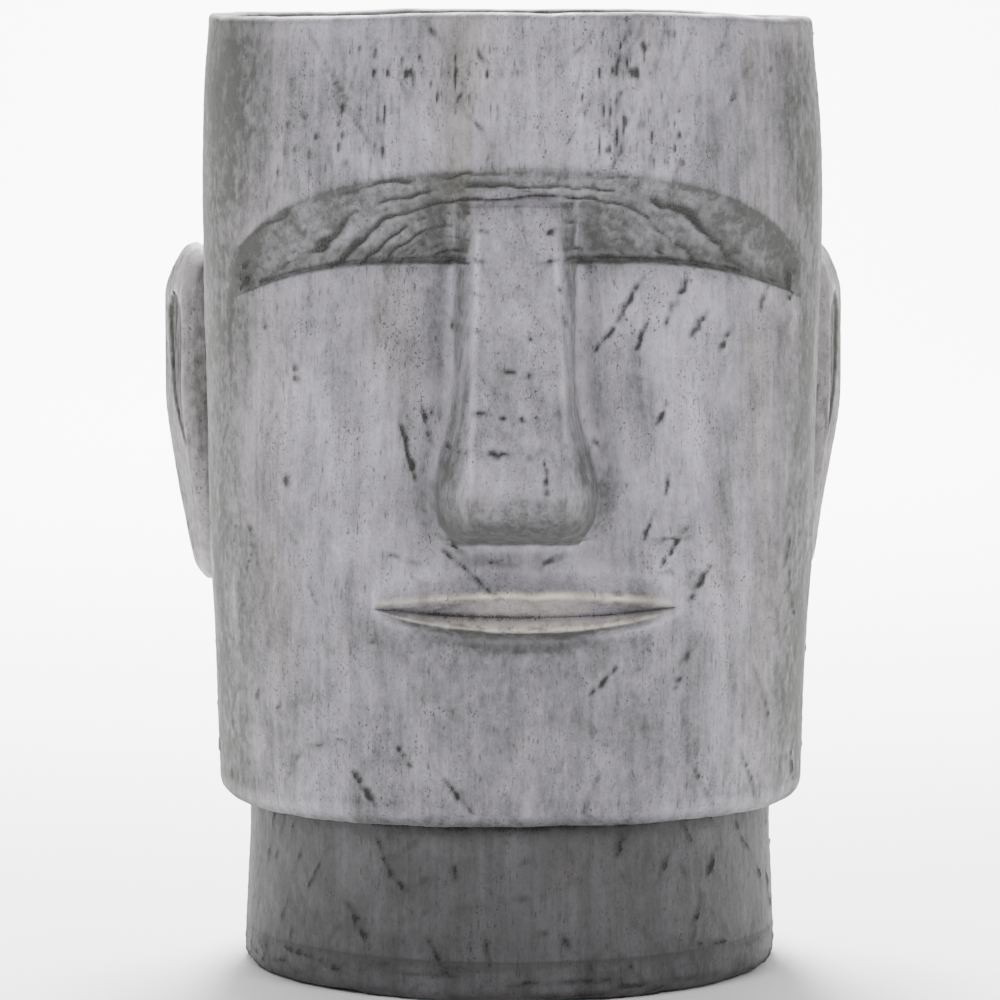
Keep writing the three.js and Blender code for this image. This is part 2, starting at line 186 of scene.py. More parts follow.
def section(z):
    """Half width, front reach and rear reach of the head's plain plan at these heights."""
    return (
        HALF - eased(z, SECTION_UP, SIDE_IN, 12.0),
        FRONT - eased(z, SECTION_UP, FRONT_IN, 12.0),
        REAR - eased(z, SECTION_UP, REAR_IN, 12.0),
    )


def brow_top(x):
    share = np.clip(np.abs(x) / BROW_HALF, 0.0, 1.0)
    return BROW_END + BROW_RISE * (1.0 - share ** 2.5) ** 0.4


def brow_low(x):
    return BROW_LOW - BROW_DROOP * (np.abs(x) / BROW_HALF) ** 4


def brow_share(x, z):
    """0 at the brow recess's lower line and 1 at its top."""
    return (z - brow_low(x)) / np.maximum(brow_top(x) - brow_low(x), 1.0)


def brow_fade(x):
    return 1.0 - np.clip(np.abs(x) / BROW_HALF, 0.0, 1.0) ** 4


def brow_and_cheeks(x, z):
    rise = brow_share(x, z)
    low = brow_low(x)
    recess = -BROW_DEPTH * np.clip(1.0 - rise, 0.0, 1.0) ** 0.9
    plane = np.clip((z - CHEEK_FLUSH) / (low - CHEEK_FLUSH), 0.0, 1.0)
    ledge = LEDGE * smooth(low - LEDGE_HEIGHT, low, z)
    cheek = -(BROW_DEPTH - LEDGE) * plane - ledge
    return brow_fade(x) * np.where(z >= low, np.where(rise >= 1.0, 0.0, recess), cheek)


def cheek_border(x, z):
    """The shallow crease that runs down from each end of the brow."""
    side = BROW_HALF - 2.0 - 0.02 * (BROW_END - z)
    down = between(z, BROW_END - 75.0, BROW_END - 5.0, BROW_END + 2.0, BROW_END + 14.0)
    return down * bell(np.abs(x), side, 3.0)


def nose_reach(z):
    ridge = lerp(NOSE_TOP_REACH, NOSE_PROUD, (NOSE_TOP - z) / (NOSE_TOP - NOSE_TIP))
    under = np.clip((NOSE_TIP - z) / (NOSE_TIP - NOSE_BOTTOM), 0.0, 1.0)
    return np.where(z >= NOSE_TIP, ridge, NOSE_PROUD * (1.0 - under ** 2.2) ** 0.5)


def nose_side(x, z):
    """0 on the nose's flat front, 1 at its foot and beyond."""
    edge = np.interp(z, *NOSE_EDGE)
    foot = eased(z, *NOSE_FOOT, 2.0)
    return np.clip((np.abs(x - NOSE_X) - edge) / (foot - edge), 0.0, 1.0)


def nose_here(z):
    return (z <= NOSE_TOP) & (z >= NOSE_BOTTOM)


def with_nose(x, z, ground):
    side = nose_side(x, z)
    reach = np.maximum(nose_reach(z), ground)
    return np.where(nose_here(z), lerp(reach, ground, 0.5 * side + 0.5 * side ** 3), ground)


def mouth_swell(x):
    return np.clip(1.0 - ((x - MOUTH_X) / MOUTH_HALF) ** 2, 0.0, 1.0)


def lip_line(x):
    return lerp(MOUTH_CORNER, MOUTH_LINE, mouth_swell(x))


def lip_top(x):
    notch = 0.9 * bell(x, MOUTH_X + 3.0, 5.0)
    return MOUTH_CORNER + LIP_RISE * mouth_swell(x) ** 0.7 - notch


def lip_low(x):
    return MOUTH_CORNER - LIP_DROP * mouth_swell(x) ** 0.8


def lips(x, z):
    swell = mouth_swell(x)
    upper = lip_top(x)
    line = lip_line(x)
    lower = lip_low(x)
    over = 1.0 - smooth(upper, upper + LIP_ABOVE, z)
    upper_lip = 1.7 * (z - line) / np.maximum(upper - line, 0.5) - 0.7
    lower_lip = 1.55 * np.sin(np.clip((line - z) / np.maximum(line - lower, 0.5), 0.0, 1.0) * 2.1) - 0.7
    below = np.maximum(lower - z, 0.0)
    groove = (0.64 - 1.1 * smooth(0.0, LIP_GROOVE, below)) * (1.0 - smooth(LIP_GROOVE, LIP_BELOW, below))
    shape = np.select([z >= upper, z >= line, z >= lower], [over, upper_lip, lower_lip], groove)
    return np.where(swell > 0.0, LIP_REACH * swell ** 0.4 * shape, 0.0)


def chin(x, z):
    return 2.5 * bell(z, CHIN_UP, 26.0) * bell(x, 0.0, 62.0)


def relief(x, z):
    face = with_nose(x, z, brow_and_cheeks(x, z)) - 1.3 * cheek_border(x, z)
    return face + lips(x, z) + chin(x, z)


# ---- columns and rows of the head's surface ------------------------------------------------------
NOSE_BAND, SIDE_BAND, CHEEK_BAND = 0.135, 0.235, 0.5  # shares of the half width
BAND_STEPS = ((NOSE_BAND, 24), (SIDE_BAND, 20), (CHEEK_BAND, 46))
SIDE_STEPS = 66
BACK_STEPS = 150


def face_shares():
    shares = [0.0]
    for upto, steps in BAND_STEPS:
        shares += list(np.linspace(shares[-1], upto, steps + 1)[1:])
    turn = np.linspace(0.0, math.pi / 2, SIDE_STEPS + 1)[1:]
    shares += list(lerp(CHEEK_BAND, 1.0, np.sin(turn)))
    return np.array(shares)


half_shares = face_shares()
SHARES = np.concatenate([-half_shares[:0:-1], half_shares])
BACK_ANGLES = np.linspace(0.0, math.pi, BACK_STEPS + 1)[1:-1]
FACE_COUNT = len(SHARES)


def face_x(z, half):
    """Face columns bend to run along the edge of the nose's flat front and along its foot."""
    side = np.abs(SHARES)[None, :]
    edge = np.interp(z, *NOSE_EDGE)
    foot = eased(z, *NOSE_FOOT, 2.0)
    on_side = lerp(edge, foot, (side - NOSE_BAND) / (SIDE_BAND - NOSE_BAND))
    on_cheek = lerp(foot, half * CHEEK_BAND, (side - SIDE_BAND) / (CHEEK_BAND - SIDE_BAND))
    x = np.where(side < NOSE_BAND, edge * side / NOSE_BAND, on_side)
    x = np.where(side < SIDE_BAND, x, on_cheek)
    x = np.where(side < CHEEK_BAND, x, half * side)
    return np.sign(SHARES)[None, :] * x + NOSE_X * (1.0 - smooth(SIDE_BAND, CHEEK_BAND, side))


def back_plan(half, rear):
    c = np.cos(BACK_ANGLES)[None, :]
    s = np.sin(BACK_ANGLES)[None, :]
    radius = (np.abs(c) ** REAR_POWER + s ** REAR_POWER) ** (-1.0 / REAR_POWER)
    return half * c * radius, -rear * s * radius


def level_ring(z, inset, setback=0.0):
    """One plain row of the head's plan at a height: x, reach forward of the axis, and z for each column."""
    half, front, rear = (reach - inset for reach in section(np.array([[z]])))
    x = half * SHARES[None, :]
    forward = (front - setback) * (1.0 - np.abs(SHARES[None, :]) ** FRONT_POWER) ** (1.0 / FRONT_POWER)
    back_x, back_forward = back_plan(half, rear)
    x = np.hstack([x, back_x])
    return np.stack([x, np.hstack([forward, back_forward]), np.full_like(x, z)], axis=-1)


def round_ring(z, radius):
    angle = np.concatenate([-np.arccos(SHARES), BACK_ANGLES])[None, :]
    return np.stack([radius * np.cos(angle), -radius * np.sin(angle), np.full_like(angle, z)], axis=-1)


def following(edge, reach, level):
    """A line that keeps to a feature's edge as far as it reaches, then runs out level at the side."""
    x = SHARES * HALF
    near = edge(np.clip(x, -reach, reach))
    return lerp(near, level, smooth(reach, HALF - 6.0, np.abs(x)))


def carved_rows():
    """The carved face and the plain back, from above the jaw's rounding to below the rim's."""
    brow_reach = 0.96 * BROW_HALF
    mouth_reach = 0.9 * MOUTH_HALF
    lines = [
        (JAW + JAW_ROUND, None, 0.0, 62),
        (MOUTH_CORNER - 24.0, None, 0.0, 17),
        (MOUTH_CORNER - 12.0, lambda x: lip_low(x) - LIP_GROOVE, mouth_reach, 8),
        (MOUTH_CORNER - 8.0, lip_low, mouth_reach, 11),
        (MOUTH_CORNER - 1.0, lip_line, mouth_reach, 13),
        (MOUTH_CORNER + 6.0, lip_top, mouth_reach, 12),
        (MOUTH_CORNER + LIP_RISE + LIP_ABOVE, None, 0.0, 14),
        (NOSE_BOTTOM, None, 0.0, 4),
        (NOSE_BOTTOM + 2.0, None, 0.0, 30),
        (NOSE_TIP, None, 0.0, 84),
        (up(212), lambda x: brow_low(x) - LEDGE_HEIGHT, brow_reach, 4),
        (up(219), brow_low, brow_reach, 46),
        (up(272), brow_top, brow_reach, 18),
        (BROW_END + BROW_RISE + 14.0, None, 0.0, 44),
        (RIM - RIM_ROUND, None, 0.0, 0),
    ]
    levels = []
    heights = []
    for low, high in itertools.pairwise(lines):
        curves = [
            following(edge, reach, level) if edge else np.full(FACE_COUNT, level)
            for level, edge, reach, _ in (low, high)
        ]
        for t in np.arange(low[3]) / low[3]:
            levels.append(lerp(low[0], high[0], t))
            heights.append(lerp(curves[0], curves[1], t))
    levels.append(RIM - RIM_ROUND)
    heights.append(np.full(FACE_COUNT, RIM - RIM_ROUND))
    z = np.array(heights)
    half, front, _ = section(z)
    x = face_x(z, half)
    plain = front * np.clip(1.0 - np.abs(x / half) ** FRONT_POWER, 0.0, 1.0) ** (1.0 / FRONT_POWER)
    face = np.stack([x, plain + relief(x, z), z], axis=-1)
    back_z = np.array(levels)[:, None] + np.zeros((1, len(BACK_ANGLES)))
    half, _, rear = section(back_z)
    back_x, back_forward = back_plan(half, rear)
    return np.concatenate([face, np.stack([back_x, back_forward, back_z], axis=-1)], axis=1)


def cavity_ring(z, offset):
    """A row of the cavity's wall, which stands further back behind the carved brow."""
    setback = 13.0 * between(z, up(92), up(172), up(267), up(307))
    return level_ring(z, WALL + offset, setback)


# ---- the log's grain: growth rings with pores, met by the carved surface -------------------------
RING_STEP = 3.6
LOG_X = -3.0
LOG_LEAN = 0.18
LEAN_TOP = up(240)


def ring_radius(x, forward, z):
    """Distance from the log's heart, which leans away from the face below the brow."""
    lean = LOG_LEAN * (LEAN_TOP - np.minimum(z, LEAN_TOP)) - 0.03 * (np.maximum(z, LEAN_TOP) - LEAN_TOP)
    wander = 2.4 * noise(x / 45.0, forward / 45.0, z / 120.0, 3)
    wander = wander + 0.5 * noise(x / 11.0, forward / 11.0, z / 24.0, 4)
    return np.hypot(x - LOG_X, forward + lean) + wander


def surface_changes(grid, field):
    """How fast a field changes along the surface: for each millimetre sideways, and for each up the rows."""
    along = (np.roll(grid, -1, axis=1) - np.roll(grid, 1, axis=1)) / 2.0
    across = np.gradient(grid, axis=0)
    by_column = (np.roll(field, -1, axis=1) - np.roll(field, 1, axis=1)) / 2.0
    by_row = np.gradient(field, axis=0)
    column_size = np.maximum((along * along).sum(-1), 1e-6)
    side = by_column / np.sqrt(column_size)
    straight = across - along * ((along * across).sum(-1) / column_size)[..., None]
    rest = by_row - by_column * (along * across).sum(-1) / column_size
    return side, rest / np.maximum(np.linalg.norm(straight, axis=-1), 1e-3)


def pores(grid):
    """Millimetres inside the nearest pore, below zero outside: short slits strung along the growth rings."""
    x, forward, z = np.moveaxis(grid, -1, 0)
    radius = ring_radius(x, forward, z)
    ring = np.round(radius / RING_STEP)
    side, rise = surface_changes(grid, radius)
    change = np.hypot(side, rise)
    off_line = np.abs(radius - ring * RING_STEP) / np.maximum(change, 0.08)
    arc = np.arctan2(x - LOG_X, forward) * 120.0
    bead = noise(arc / 2.6, ring * 3.7, z / 3.4, 21)
    slit = noise(arc / 4.5, ring * 5.1, z / 7.5, 22)
    strung = noise(arc / 24.0, ring * 5.3, z / 30.0, 23)
    upright = np.abs(side) / np.maximum(change, 1e-6)
    level_line = 1.3 * (1.0 - smooth(0.45, 0.85, upright))
    on_nose = nose_here(z) * (nose_side(x, z) < 1.05)
    on_ledge = bell(z, brow_low(x), 4.0)
    kept_clear = (forward > 0.0) * (2.0 * on_nose + 2.0 * on_ledge)
    present = 2.2 * (slit + 0.7 * strung - 0.4 - 0.1 * (ring % 2)) - level_line - kept_clear
    return np.minimum(0.4 + 0.8 * bead - off_line, present)


def brow_grooves(x, z, band):
    """The rings that the carved brow recess cuts through: low steps, with a dark line at each."""
    step_height = 5.4
    turn = smooth(22.0, 92.0, np.abs(x))
    top = brow_top(x)
    level = brow_top(0.0) - top + lerp(z, top, 0.74 * turn)
    level = level + 1.5 * noise(x / 24.0, z / 15.0, 0.0, 31) + 0.8 * noise(x / 6.0, z / 5.0, 0.0, 32)
    place = level / step_height
    share = place - np.floor(place)
    from_line = np.minimum(share, 1.0 - share) * step_height
    from_line = np.where(share < 0.5, from_line, from_line * 1.25)
    side = smooth(8.0, -25.0, x)
    broken = noise(x / 13.0, np.round(place) * 2.3, z / 40.0, 33) + 0.4 * noise(x / 4.0, z / 4.0, 0.0, 34)
    far = 1.0 - 0.5 * smooth(78.0, 100.0, np.abs(x))
    strength = band * far * np.clip(lerp(-0.1, 0.5, side) + lerp(1.5, 1.6, side) * broken, 0.0, 1.0)
    fine_share = place * 2.0 - np.floor(place * 2.0)
    fine = band * np.clip(1.4 * noise(x / 12.0, np.round(place * 2.0) * 3.1, z / 9.0, 35) - 0.25, 0.0, 1.0)
    fine_line = 0.3 - np.minimum(fine_share, 1.0 - fine_share) * step_height / 2.0
    width = 0.75 + 0.5 * noise(x / 7.0, z / 7.0, 0.0, 36)
    line = np.maximum(width * strength - from_line, fine_line - 1.2 * (1.0 - fine))
    relief_step = (0.5 - share) * 1.3 * strength
    return relief_step, np.where((band > 0.15) & (strength + fine > 0.12), line, NO_CUT)


def marks(x, z, strokes, base, seed):
    """Larger cracks: each stroke has its ends as x and height above base, then its half width."""
    pit = np.full(x.shape, NO_CUT)
    ragged = 0.5 * noise(x / 1.9, z / 2.4, 0.0, seed) + 0.5 * noise(x / 4.0, z / 5.0, 0.0, seed + 1)
    for start_x, start_up, end_x, end_up, half_width in strokes:
        start_z = base + start_up
        run_x = end_x - start_x
        run_z = end_up - start_up
        length = math.hypot(run_x, run_z)
        along = ((x - start_x) * run_x + (z - start_z) * run_z) / length
        held = np.clip(along, 0.0, length)
        off = np.hypot(x - start_x - held * run_x / length, z - start_z - held * run_z / length)
        wide = half_width * (0.45 + 0.55 * np.sin(math.pi * np.clip(along / length, 0.0, 1.0)))
        pit = np.maximum(pit, wide * (0.55 + 2.0 * ragged) - 0.9 * off)
    return pit


# ---- meshes --------------------------------------------------------------------------------------
def grid_normals(grid, wrap_rows):
    """Unit normals of a grid whose columns wrap round: rows go up and columns go anticlockwise from above."""
    along = np.roll(grid, -1, axis=1) - np.roll(grid, 1, axis=1)
    if wrap_rows:
        across = np.roll(grid, -1, axis=0) - np.roll(grid, 1, axis=0)
    else:
        across = np.gradient(grid, axis=0)
    normal = np.cross(along, across)
    return normal / np.maximum(np.linalg.norm(normal, axis=-1, keepdims=True), 1e-9)


def blurred(grid, reach, wrap_rows):
    """Each point's mean with its neighbours up to reach steps away in the grid."""
    padded = grid if wrap_rows else np.concatenate([grid[:1]] * reach + [grid] + [grid[-1:]] * reach)
    rows = sum(np.roll(padded, shift, axis=0) for shift in range(-reach, reach + 1)) / (2 * reach + 1)
    rows = rows if wrap_rows else rows[reach:-reach]
    return sum(np.roll(rows, shift, axis=1) for shift in range(-reach, reach + 1)) / (2 * reach + 1)


def crests(grid, wrap_rows):
    """Above zero on crests and edges, below zero in creases, about 1 at a sharp one."""
    normal = grid_normals(grid, wrap_rows)
    near = ((grid - blurred(grid, 3, wrap_rows)) * normal).sum(-1)
    wide = ((grid - blurred(grid, 8, wrap_rows)) * normal).sum(-1)
    return np.clip(1.2 * near + 0.35 * wide, -1.2, 1.0)


def to_frame(grid):
    """Plan coordinates (x, reach forward of the axis, z) in millimetres to the frame's metres."""
    out = np.stack([grid[..., 0], AXIS_Y - grid[..., 1], grid[..., 2]], axis=-1) * MM
    margin = 0.0001
    return np.clip(out, np.array(cad_box[0]) + margin, np.array(cad_box[1]) - margin)


def ring_faces(rows, columns, wrap_rows):
    row, column = np.meshgrid(np.arange(rows if wrap_rows else rows - 1), np.arange(columns), indexing="ij")
    row, column = row.ravel(), column.ravel()
    up_row = (row + 1) % rows
    next_column = (column + 1) % columns
    corners = (row * columns + column, row * columns + next_column)
    above = (up_row * columns + next_column, up_row * columns + column)
    return np.stack([*corners, *above], axis=-1)


def make_piece(name, grid, wrap_rows, material, body, node, fields=None):
    """A piece from a grid of points. Rows that don't wrap are closed at both ends by a point on the axis."""
    rows, columns = grid.shape[:2]
    points = grid.reshape(-1, 3)
    faces = ring_faces(rows, columns, wrap_rows).tolist()
    if not wrap_rows:
        ends = (grid[0].mean(0), grid[-1].mean(0))
        points = np.concatenate([points, ends])
        first, last = rows * columns, rows * columns + 1
        top = (rows - 1) * columns
        faces += [[first, (j + 1) % columns, j] for j in range(columns)]
        faces += [[last, top + j, top + (j + 1) % columns] for j in range(columns)]
    mesh = bpy.data.meshes.new(name)
    mesh.from_pydata(points.tolist(), [], faces)
    mesh.polygons.foreach_set("use_smooth", np.ones(len(mesh.polygons), bool))
    for key, values in (fields or {}).items():
        layer = mesh.attributes.new(key, "FLOAT", "POINT")
        flat = np.zeros(len(points))
        flat[: rows * columns] = values.ravel()
        layer.data.foreach_set("value", flat)
    mesh.update()
    mesh.materials.append(material)
    piece = bpy.data.objects.new(name, mesh)
    bpy.context.scene.collection.objects.link(piece)
    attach(piece, body)
    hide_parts(node)


# ---- materials -----------------------------------------------------------------------------------
class Tree:
    """Builds a material's nodes. Values may be numbers, colours or other nodes' outputs."""

    def __init__(self, name):
        self.material = bpy.data.materials.new(name)
        self.material.use_nodes = True
        self.nodes = self.material.node_tree.nodes
        self.links = self.material.node_tree.links
        self.shader = self.nodes["Principled BSDF"]
        self.place = self.node("ShaderNodeTexCoord").outputs["Object"]

    def set(self, socket, value):
        if isinstance(value, bpy.types.NodeSocket):
            self.links.new(value, socket)
        else:
            socket.default_value = value

    def node(self, kind, **options):
        node = self.nodes.new(kind)
        for key, value in options.items():
            setattr(node, key, value)
        return node

    def math(self, operation, a, b=0.0):
        node = self.node("ShaderNodeMath", operation=operation)
        self.set(node.inputs[0], a)
        self.set(node.inputs[1], b)
        return node.outputs[0]

    def scaled(self, sizes):
        """The place divided by these sizes in millimetres along x, y and z."""
        node = self.node("ShaderNodeVectorMath", operation="MULTIPLY")
        self.set(node.inputs[0], self.place)
        node.inputs[1].default_value = [1.0 / (size * MM) for size in sizes]
        return node.outputs[0]

    def noise(self, sizes, detail=2.0, roughness=0.5, distortion=0.0):
        node = self.node("ShaderNodeTexNoise")
        self.set(node.inputs["Vector"], self.scaled(sizes))
        node.inputs["Scale"].default_value = 1.0
        node.inputs["Detail"].default_value = detail
        node.inputs["Roughness"].default_value = roughness
        node.inputs["Distortion"].default_value = distortion
        return node.outputs["Fac"]

    def ramp(self, value, low, high, to_low=0.0, to_high=1.0):
        """A value eased from low..high to to_low..to_high."""
        node = self.node("ShaderNodeMapRange", interpolation_type="SMOOTHSTEP")
        for socket, number in zip(node.inputs, (value, low, high, to_low, to_high)):
            self.set(socket, number)
        return node.outputs[0]

    def mix(self, share, a, b, blend="MIX"):
        node = self.node("ShaderNodeMix", data_type="RGBA", blend_type=blend)
        for socket, value in zip((node.inputs[0], node.inputs[6], node.inputs[7]), (share, a, b)):
            self.set(socket, value)
        return node.outputs[2]

    def field(self, name):
        return self.node("ShaderNodeAttribute", attribute_name=name).outputs["Fac"]

    def bump(self, height, distance, strength=1.0, under=None):
        node = self.node("ShaderNodeBump")
        node.inputs["Strength"].default_value = strength
        node.inputs["Distance"].default_value = distance * MM
        self.set(node.inputs["Height"], height)
        if under is not None:
            self.set(node.inputs["Normal"], under)
        return node.outputs[0]


def rgb(red, green, blue):
    return (red, green, blue, 1.0)


def stone_material(name, light, dark, tone_level, variety):
    """Cast stone: brushed grey paint, painted shade darkening the hollows, creases and undersides (partly a
    dark wash of the paint), and pores of the log's grain.
    """
    tree = Tree(name)
    hair = tree.noise((0.7, 0.7, 15.0), 2.0, 0.6)
    brush = tree.noise((2.6, 2.6, 50.0), 3.0, 0.6)
    cloud = tree.noise((34.0, 34.0, 60.0), 3.0, 0.6, 0.6)
    patch = tree.noise((12.0, 12.0, 19.0), 4.0, 0.62, 0.8)
    mottle = tree.noise((2.4, 2.4, 3.8), 3.0, 0.65)
    grain = tree.noise((0.8, 0.8, 1.2), 2.0, 0.6)
    pit = tree.field("pit")
    shade_and_wash = tree.field("shade_and_wash")
    edge = tree.field("edge")

    streak = tree.noise((9.0, 9.0, 150.0), 2.0, 0.5, 0.3)
    stain = tree.noise((4.5, 4.5, 6.5), 4.0, 0.65, 0.4)

    parts = ((cloud, 0.42), (patch, 0.24), (streak, 0.22), (brush, 0.18), (mottle, 0.15), (grain, 0.16))
    tone = 1.0
    for source, share in parts:
        share *= variety
        tone = tree.math("ADD", tree.ramp(source, 0.25, 0.75, -0.8 * share, share), tone)
    scratch = tree.math("MULTIPLY", tree.ramp(hair, 0.58, 0.76), tree.ramp(patch, 0.35, 0.6, 0.12, 0.42))
    tone = tree.math("MULTIPLY", tone, tree.math("SUBTRACT", 1.0, scratch))
    # Painted shade: this darkens the tone in recesses, creases and under overhangs, partly the paint's own
    # dark wash.
    shade_darkening = tree.math("MULTIPLY", shade_and_wash, tree.ramp(patch, 0.25, 0.7, 0.92, 0.68))
    shade_darkening = tree.math("MAXIMUM", tree.math("SUBTRACT", 1.0, shade_darkening), 0.1)
    tone = tree.math("MULTIPLY", tree.math("MULTIPLY", tone, shade_darkening), tone_level)
    stained = tree.math("MULTIPLY", tree.math("MAXIMUM", shade_and_wash, 0.1), tree.ramp(stain, 0.3, 0.7, -0.06, 0.13))
    tone = tree.math("ADD", tone, stained)
    # The edge field lightens crests as dry-brushed paint, and below zero darkens creases as painted shade.
    tone = tree.math("MAXIMUM", tree.math("ADD", tone, tree.math("MULTIPLY", edge, 0.26)), 0.02)
    colour = tree.mix(tree.math("MINIMUM", tone, 1.0), dark, light)
    # Painted shade: where that field is strongest, the colour goes further towards dark.
    colour = tree.mix(tree.ramp(shade_and_wash, 0.85, 1.2, 0.0, 0.6), colour, dark)

    warm = tree.noise((17.0, 17.0, 120.0), 2.0, 0.5, 0.4)
    warm = tree.math("MAXIMUM", tree.ramp(warm, 0.58, 0.75, 0.0, 0.4), tree.field("tan"))
    colour = tree.mix(warm, colour, rgb(0.98, 0.93, 0.82), "MULTIPLY")
    colour = tree.mix(tree.field("cream"), colour, rgb(0.7, 0.63, 0.53))

    fleck = tree.noise((0.9, 0.9, 1.4), 1.0, 0.5)
    flecked = tree.noise((12.0, 12.0, 20.0), 2.0, 0.5)
    fleck = tree.math("MULTIPLY", tree.ramp(fleck, 0.62, 0.73), tree.ramp(flecked, 0.42, 0.66, 0.12, 0.85))
    dash = tree.noise((1.1, 1.1, 6.0), 1.0, 0.5)
    dash = tree.math("MULTIPLY", tree.ramp(dash, 0.63, 0.75), tree.ramp(patch, 0.62, 0.4, 0.1, 0.7))
    colour = tree.mix(tree.math("MAXIMUM", fleck, dash), colour, dark)

    ragged = tree.math("ADD", pit, tree.math("MULTIPLY", tree.math("SUBTRACT", grain, 0.5), 3.0))
    opened = tree.ramp(ragged, -0.2, 1.0)
    halo = tree.ramp(pit, -1.9, 0.3, 0.0, 0.5)
    colour = tree.mix(halo, colour, dark)
    deepest = rgb(*(channel * 0.5 for channel in dark[:3]))
    colour = tree.mix(tree.math("MULTIPLY", opened, 0.8), colour, deepest)
    tree.set(tree.shader.inputs["Base Color"], colour)

    rough = tree.math("ADD", tree.ramp(tone, 0.05, 0.8, 0.76, 0.44), tree.math("MULTIPLY", opened, 0.25))
    tree.set(tree.shader.inputs["Roughness"], rough)
    tree.shader.inputs["Specular IOR Level"].default_value = 0.5

    normal = tree.bump(hair, 0.1)
    normal = tree.bump(grain, 0.14, under=normal)
    normal = tree.bump(mottle, 0.4, under=normal)
    normal = tree.bump(tree.math("SUBTRACT", 1.0, tree.math("MAXIMUM", fleck, opened)), 0.4, under=normal)
    tree.set(tree.shader.inputs["Normal"], normal)
    return tree.material


def mesh_coat_material(name):
    """A raw skim coat in which the glass mesh shows as a fine square grid."""
    tree = Tree(name)
    weave = tree.field("weave")
    stain = tree.noise((30.0, 30.0, 60.0), 4.0, 0.6, 0.5)
    grit = tree.noise((1.4, 1.4, 1.4), 3.0, 0.6)
    colour = tree.mix(tree.ramp(stain, 0.35, 0.7), rgb(0.15, 0.15, 0.145), rgb(0.27, 0.265, 0.25))
    colour = tree.mix(tree.math("MULTIPLY", weave, 0.35), colour, rgb(0.4, 0.39, 0.37))
    colour = tree.mix(tree.ramp(grit, 0.62, 0.75, 0.0, 0.6), colour, rgb(0.09, 0.09, 0.088))
    tree.set(tree.shader.inputs["Base Color"], colour)
    tree.set(tree.shader.inputs["Roughness"], tree.ramp(grit, 0.3, 0.7, 0.85, 0.97))
    tree.set(tree.shader.inputs["Normal"], tree.bump(grit, 0.5))
    return tree.material


def moulded_material(name, colour, darker, roughness):
    """Moulded plastic or rubber with a fine texture and dust."""
    tree = Tree(name)
    grain = tree.noise((0.35, 0.35, 0.35), 2.0, 0.6)
    dust = tree.noise((6.0, 6.0, 6.0), 4.0, 0.65)
    tree.set(tree.shader.inputs["Base Color"], tree.mix(tree.ramp(dust, 0.4, 0.7), colour, darker))
    tree.set(tree.shader.inputs["Roughness"], tree.ramp(dust, 0.3, 0.7, roughness - 0.08, roughness + 0.12))
    tree.set(tree.shader.inputs["Normal"], tree.bump(grain, 0.08))
    return tree.material


LAVENDER_LIGHT = rgb(0.59, 0.555, 0.635)
GREEN_DARK = rgb(0.044, 0.046, 0.042)
carved_stone = stone_material("carved_stone", LAVENDER_LIGHT, GREEN_DARK, 0.375, 1.0)
# The neck's colours are far darker than the head's: partly its own darker paint, partly painted shade under
# the head.
neck_stone = stone_material("neck_stone", rgb(0.2, 0.192, 0.208), rgb(0.024, 0.024, 0.023), 0.235, 0.9)
mesh_lining = mesh_coat_material("mesh_lining")
sleeve_plastic = moulded_material("sleeve_plastic", rgb(0.55, 0.55, 0.53), rgb(0.4, 0.39, 0.36), 0.5)
plug_rubber = moulded_material("plug_rubber", rgb(0.022, 0.022, 0.023), rgb(0.05, 0.048, 0.045), 0.6)


# ---- the surface that every cast piece shares ----------------------------------------------------
def weather(grid, wrap_rows, shown, shade_and_wash, cuts, crust=0.0):
    """Moves a plain form's points to give it its hand-made waviness, pores and grit, and returns its fields.

    shown is 1 where the surface is outside and 0 where it is bonded or inside. cuts are larger marks,
    in the same millimetres as the pores.
    """
    x, forward, z = np.moveaxis(grid, -1, 0)
    normal = grid_normals(grid, wrap_rows)
    pit = np.maximum(pores(grid), cuts)
    pit = np.where(shown > 0.5, pit, NO_CUT)
    form = 0.85 * fractal(x / 55.0, forward / 55.0, z / 70.0, 1)
    form = form + 0.25 * noise(x / 13.0, forward / 13.0, z / 40.0, 2)
    grit = (0.04 + 0.24 * shade_and_wash + crust) * fractal(x / 2.4, forward / 2.4, z / 3.0, 5)
    slits = -0.9 * smooth(-0.3, 0.6, pit)
    moved = grid + normal * ((form + grit + slits) * shown)[..., None]
    off_ends = between(z, JAW + 8.0, JAW + 12.0, RIM - 12.0, RIM - 8.0)
    # edge: above zero on crests, which the shader lightens as dry-brushed paint; below zero in creases, which
    # it darkens as painted shade.
    edge = crests(moved, wrap_rows) * shown * off_ends
    return moved, {"pit": pit, "shade_and_wash": shade_and_wash, "edge": edge}


# ---- head ----------------------------------------------------------------------------------------
def head_grid():
    edge_turns = np.linspace(0.0, math.pi / 2, 7)[:-1]
    rounding = [(1 - math.cos(turn), 1 - math.sin(turn)) for turn in edge_turns]
    jaw = [level_ring(JAW + JAW_ROUND * rise, JAW_ROUND * inset) for rise, inset in rounding]
    rim = [level_ring(RIM - RIM_ROUND * fall, RIM_ROUND * inset) for fall, inset in rounding]
    inner = [cavity_ring(z, 0.0) for z in np.linspace(RIM - 5.0, up(22), 14)]
    parts = [
        round_ring(JAW, SEAT_RADIUS),
        *jaw,
        carved_rows(),
        *rim[::-1],
        cavity_ring(RIM, -1.5),
        cavity_ring(RIM - 1.5, 0.0),
        *inner,
        round_ring(up(14), SEAT_RADIUS),
    ]
    grid = np.concatenate(parts)
    outside = np.zeros(grid.shape[:2])
    outside[1 : len(grid) - len(inner) - 2] = 1.0
    return grid, outside


